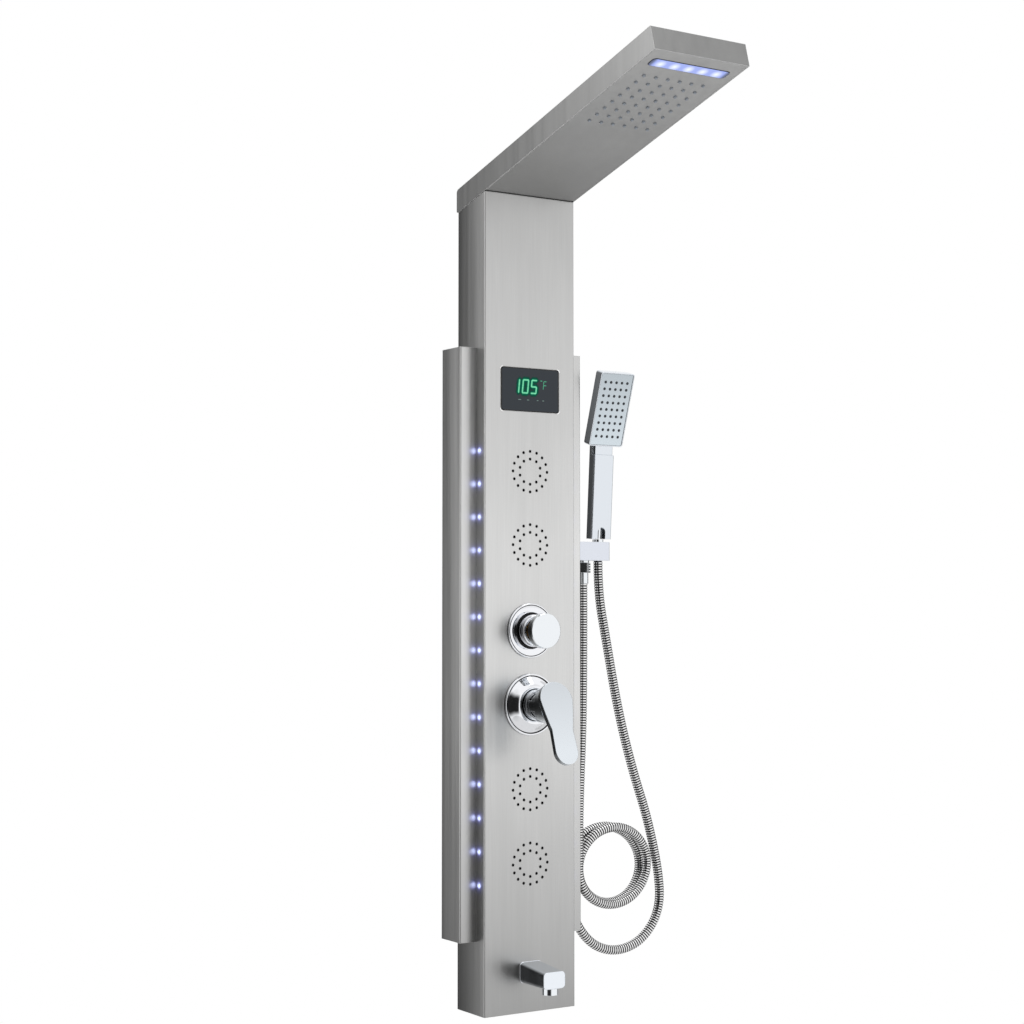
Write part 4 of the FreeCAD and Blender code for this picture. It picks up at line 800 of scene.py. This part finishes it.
def coil_route():
    """Control points of the coil's turns, just outside the line that they draw."""
    grow = 1 / math.cos(math.pi / TURN_POINTS)
    places = []
    for index in range(COIL_TURNS * TURN_POINTS):
        angle = 2 * math.pi * (index + 0.5) / TURN_POINTS
        inset = COIL_SHIFT * ((1 - math.cos(angle / 2)) / 2) ** 2
        places.append((COIL_CENTRE[0] - grow * COIL_HALF_WIDTH * math.cos(angle) + inset,
                       COIL_CENTRE[1] - COIL_SWAY * math.cos(angle / (2 * COIL_TURNS)),
                       COIL_CENTRE[2] - grow * COIL_HALF_HEIGHT * math.sin(angle)))
    return tuple(places)


def hose_line():
    """Points of the hose's centre line, read from its smooth curve."""
    route = (HOSE_EXIT,) + SUPPLY_ROUTE + coil_route() + RISE_ROUTE + (HOSE_END,)
    curve = bpy.data.curves.new("hose_line", "CURVE")
    curve.dimensions = "3D"
    spline = curve.splines.new("NURBS")
    spline.points.add(len(route) - 1)
    for point, place in zip(spline.points, route):
        point.co = (*place, 1)
    spline.order_u = 3
    spline.use_endpoint_u = True
    spline.resolution_u = 24
    holder = bpy.data.objects.new("hose_line", curve)
    bpy.context.scene.collection.objects.link(holder)
    mesh = bpy.data.meshes.new_from_object(holder)
    line = [vertex.co.copy() for vertex in mesh.vertices]
    bpy.data.objects.remove(holder)
    bpy.data.meshes.remove(mesh)
    return line


def stepped(line, spacing):
    """Places at even steps along a line, with their headings."""
    places = []
    travelled = 0.0
    target = 0.0
    for start, end in zip(line, line[1:]):
        run = (end - start).length
        while run > 0 and target <= travelled + run:
            share = (target - travelled) / run
            places.append((start.lerp(end, share), (end - start).normalized()))
            target += spacing
        travelled += run
    return places


def metal_hose():
    """Interlocked steel spiral round the hose, as fine ribs with painted shade in the
    grooves.
    """
    line = hose_line()
    sides = 14
    places = stepped(line, RIB_PITCH / len(RIB_PROFILE))
    points = []
    faces = []
    shades = []
    heading = places[0][1]
    across = heading.orthogonal().normalized()
    for index, (centre, ahead) in enumerate(places):
        across = (across - ahead * across.dot(ahead)).normalized()
        up = ahead.cross(across)
        step = index % len(RIB_PROFILE)
        points += [centre + across * x + up * z
                   for x, z in circle(HOSE_RADIUS * RIB_PROFILE[step], sides)]
        if index:
            faces += band((index - 1) * sides, sides)
            shades += [0 if step in RIB_CREST else 1] * sides
    faces.append(tuple(reversed(range(sides))))
    faces.append(tuple(range(len(points) - sides, len(points))))
    hose = piece("metal_hose", points, faces, hose_metal(), None)
    # Painted shade: the grooves take a near-black material.
    groove_shade = moulded("hose_groove_shade", (0.004, 0.004, 0.005), 0.6, shine=0.1)
    hose.data.materials.append(groove_shade)
    for polygon, shade_index in zip(hose.data.polygons, shades):
        polygon.material_index = shade_index
    smooth(hose)
    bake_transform(hose)
    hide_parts("hand_hose", "hand_hose_coil")


# --- Stage ------------------------------------------------------------------------------
ROOM_LIGHT = 0.8
DARKEST = 0.02              # light of the room where cards overlap
FLOOR_LIFT = 0.24           # what the floor adds to reach the room's white
FLOOR_RADIUS = 1.7
FLOOR_HEIGHT = -0.85
CAMERA_PLACE = (-1.5394, -2.4188, 0.5815)
CAMERA_TURN = (math.radians(92.55), 0, math.radians(-32.79))
CAMERA_LENS = 69.09
# Dark cards of the studio: heading from +X, height in degrees, full inside and gone
# outside these degrees, change of light.
CARDS = ((224, 0, 20, 38, -0.98),
         (108, 0, 12, 30, -0.9),
         (10, 0, 10, 30, -0.75),
         (51, -30, 15, 38, -0.5),
         (-50, 36, 4, 24, -0.14))


def lobe(tree, direction, heading, height, inner, outer, amount):
    """Soft patch round a direction, which changes the light by an amount."""
    turn = math.radians(heading)
    rise = math.radians(height)
    aim = (math.cos(rise) * math.cos(turn), math.cos(rise) * math.sin(turn),
           math.sin(rise))
    made = node(tree, "ShaderNodeMapRange", interpolation_type="SMOOTHSTEP")
    made.inputs["From Min"].default_value = math.cos(math.radians(outer))
    made.inputs["From Max"].default_value = math.cos(math.radians(inner))
    made.inputs["To Min"].default_value = 0
    made.inputs["To Max"].default_value = amount
    tree.links.new(dot(tree, direction, aim), made.inputs["Value"])
    return made.outputs["Result"]


def studio():
    """White room; polished metal sees it with the soft dark cards of a studio."""
    world = bpy.data.worlds.new("studio")
    bpy.context.scene.world = world
    world.use_nodes = True
    tree = world.node_tree
    tree.nodes.clear()
    direction = tree.nodes.new("ShaderNodeTexCoord").outputs["Generated"]
    seen = 1.0
    for card in CARDS:
        seen = calc(tree, "ADD", lobe(tree, direction, *card), seen)
    seen = calc(tree, "MAXIMUM", seen, DARKEST)
    path = tree.nodes.new("ShaderNodeLightPath")
    camera_ray = path.outputs["Is Camera Ray"]
    mirrored = calc(tree, "MAXIMUM", path.outputs["Is Glossy Ray"],
                    path.outputs["Is Transmission Ray"])
    bounced = mix(tree, mirrored, ROOM_LIGHT, seen)
    room = node(tree, "ShaderNodeBackground", Color=(1, 1, 1, 1))
    tree.links.new(mix(tree, camera_ray, bounced, 1.0), room.inputs["Strength"])
    out = tree.nodes.new("ShaderNodeOutputWorld")
    tree.links.new(room.outputs[0], out.inputs["Surface"])


def floor():
    """Pale floor under a column hung at its usual height."""
    made, shader = material("floor", (0.9, 0.9, 0.9), 0.6)
    tree = made.node_tree
    speck = noise(tree, coordinates(tree, (30, 30, 30)), detail=4)
    tree.links.new(shade(tree, speck, (0.87, 0.87, 0.87), (0.93, 0.93, 0.93)),
                   shader.inputs["Base Color"])
    shader.inputs["Emission Color"].default_value = (1, 1, 1, 1)
    path = tree.nodes.new("ShaderNodeLightPath")
    tree.links.new(calc(tree, "MULTIPLY", path.outputs["Is Camera Ray"], FLOOR_LIFT),
                   shader.inputs["Emission Strength"])
    points = [(x, y, FLOOR_HEIGHT) for x, y in circle(FLOOR_RADIUS, 96)]
    piece("floor", points, [tuple(range(len(points)))], made, None)


def lamp(name, place, aim, size, power):
    """Round soft lamp turned to a place."""
    light = bpy.data.lights.new(name, "AREA")
    light.shape = "DISK"
    light.size = size
    light.energy = power
    obj = bpy.data.objects.new(name, light)
    obj.location = place
    obj.rotation_euler = (Vector(aim) - Vector(place)).to_track_quat("-Z", "Y").to_euler()
    bpy.context.scene.collection.objects.link(obj)


def camera():
    """View from low on the left, close enough to foreshorten the arm."""
    data = bpy.data.cameras.new("camera")
    data.lens = CAMERA_LENS
    data.sensor_width = 36
    obj = bpy.data.objects.new("camera", data)
    obj.location = CAMERA_PLACE
    obj.rotation_euler = CAMERA_TURN
    bpy.context.scene.collection.objects.link(obj)
    bpy.context.scene.camera = obj


# --- The scene --------------------------------------------------------------------------
bpy.context.scene.view_settings.view_transform = "Standard"
camera()
studio()
floor()
lamp("key", (0.9, -0.9, 3.4), (0, -0.1, 0.6), 1.6, 8)
dress_nodes()
escutcheons()
display_figures()
display_rim()
jet_tips()
spray_tips()
metal_hose()
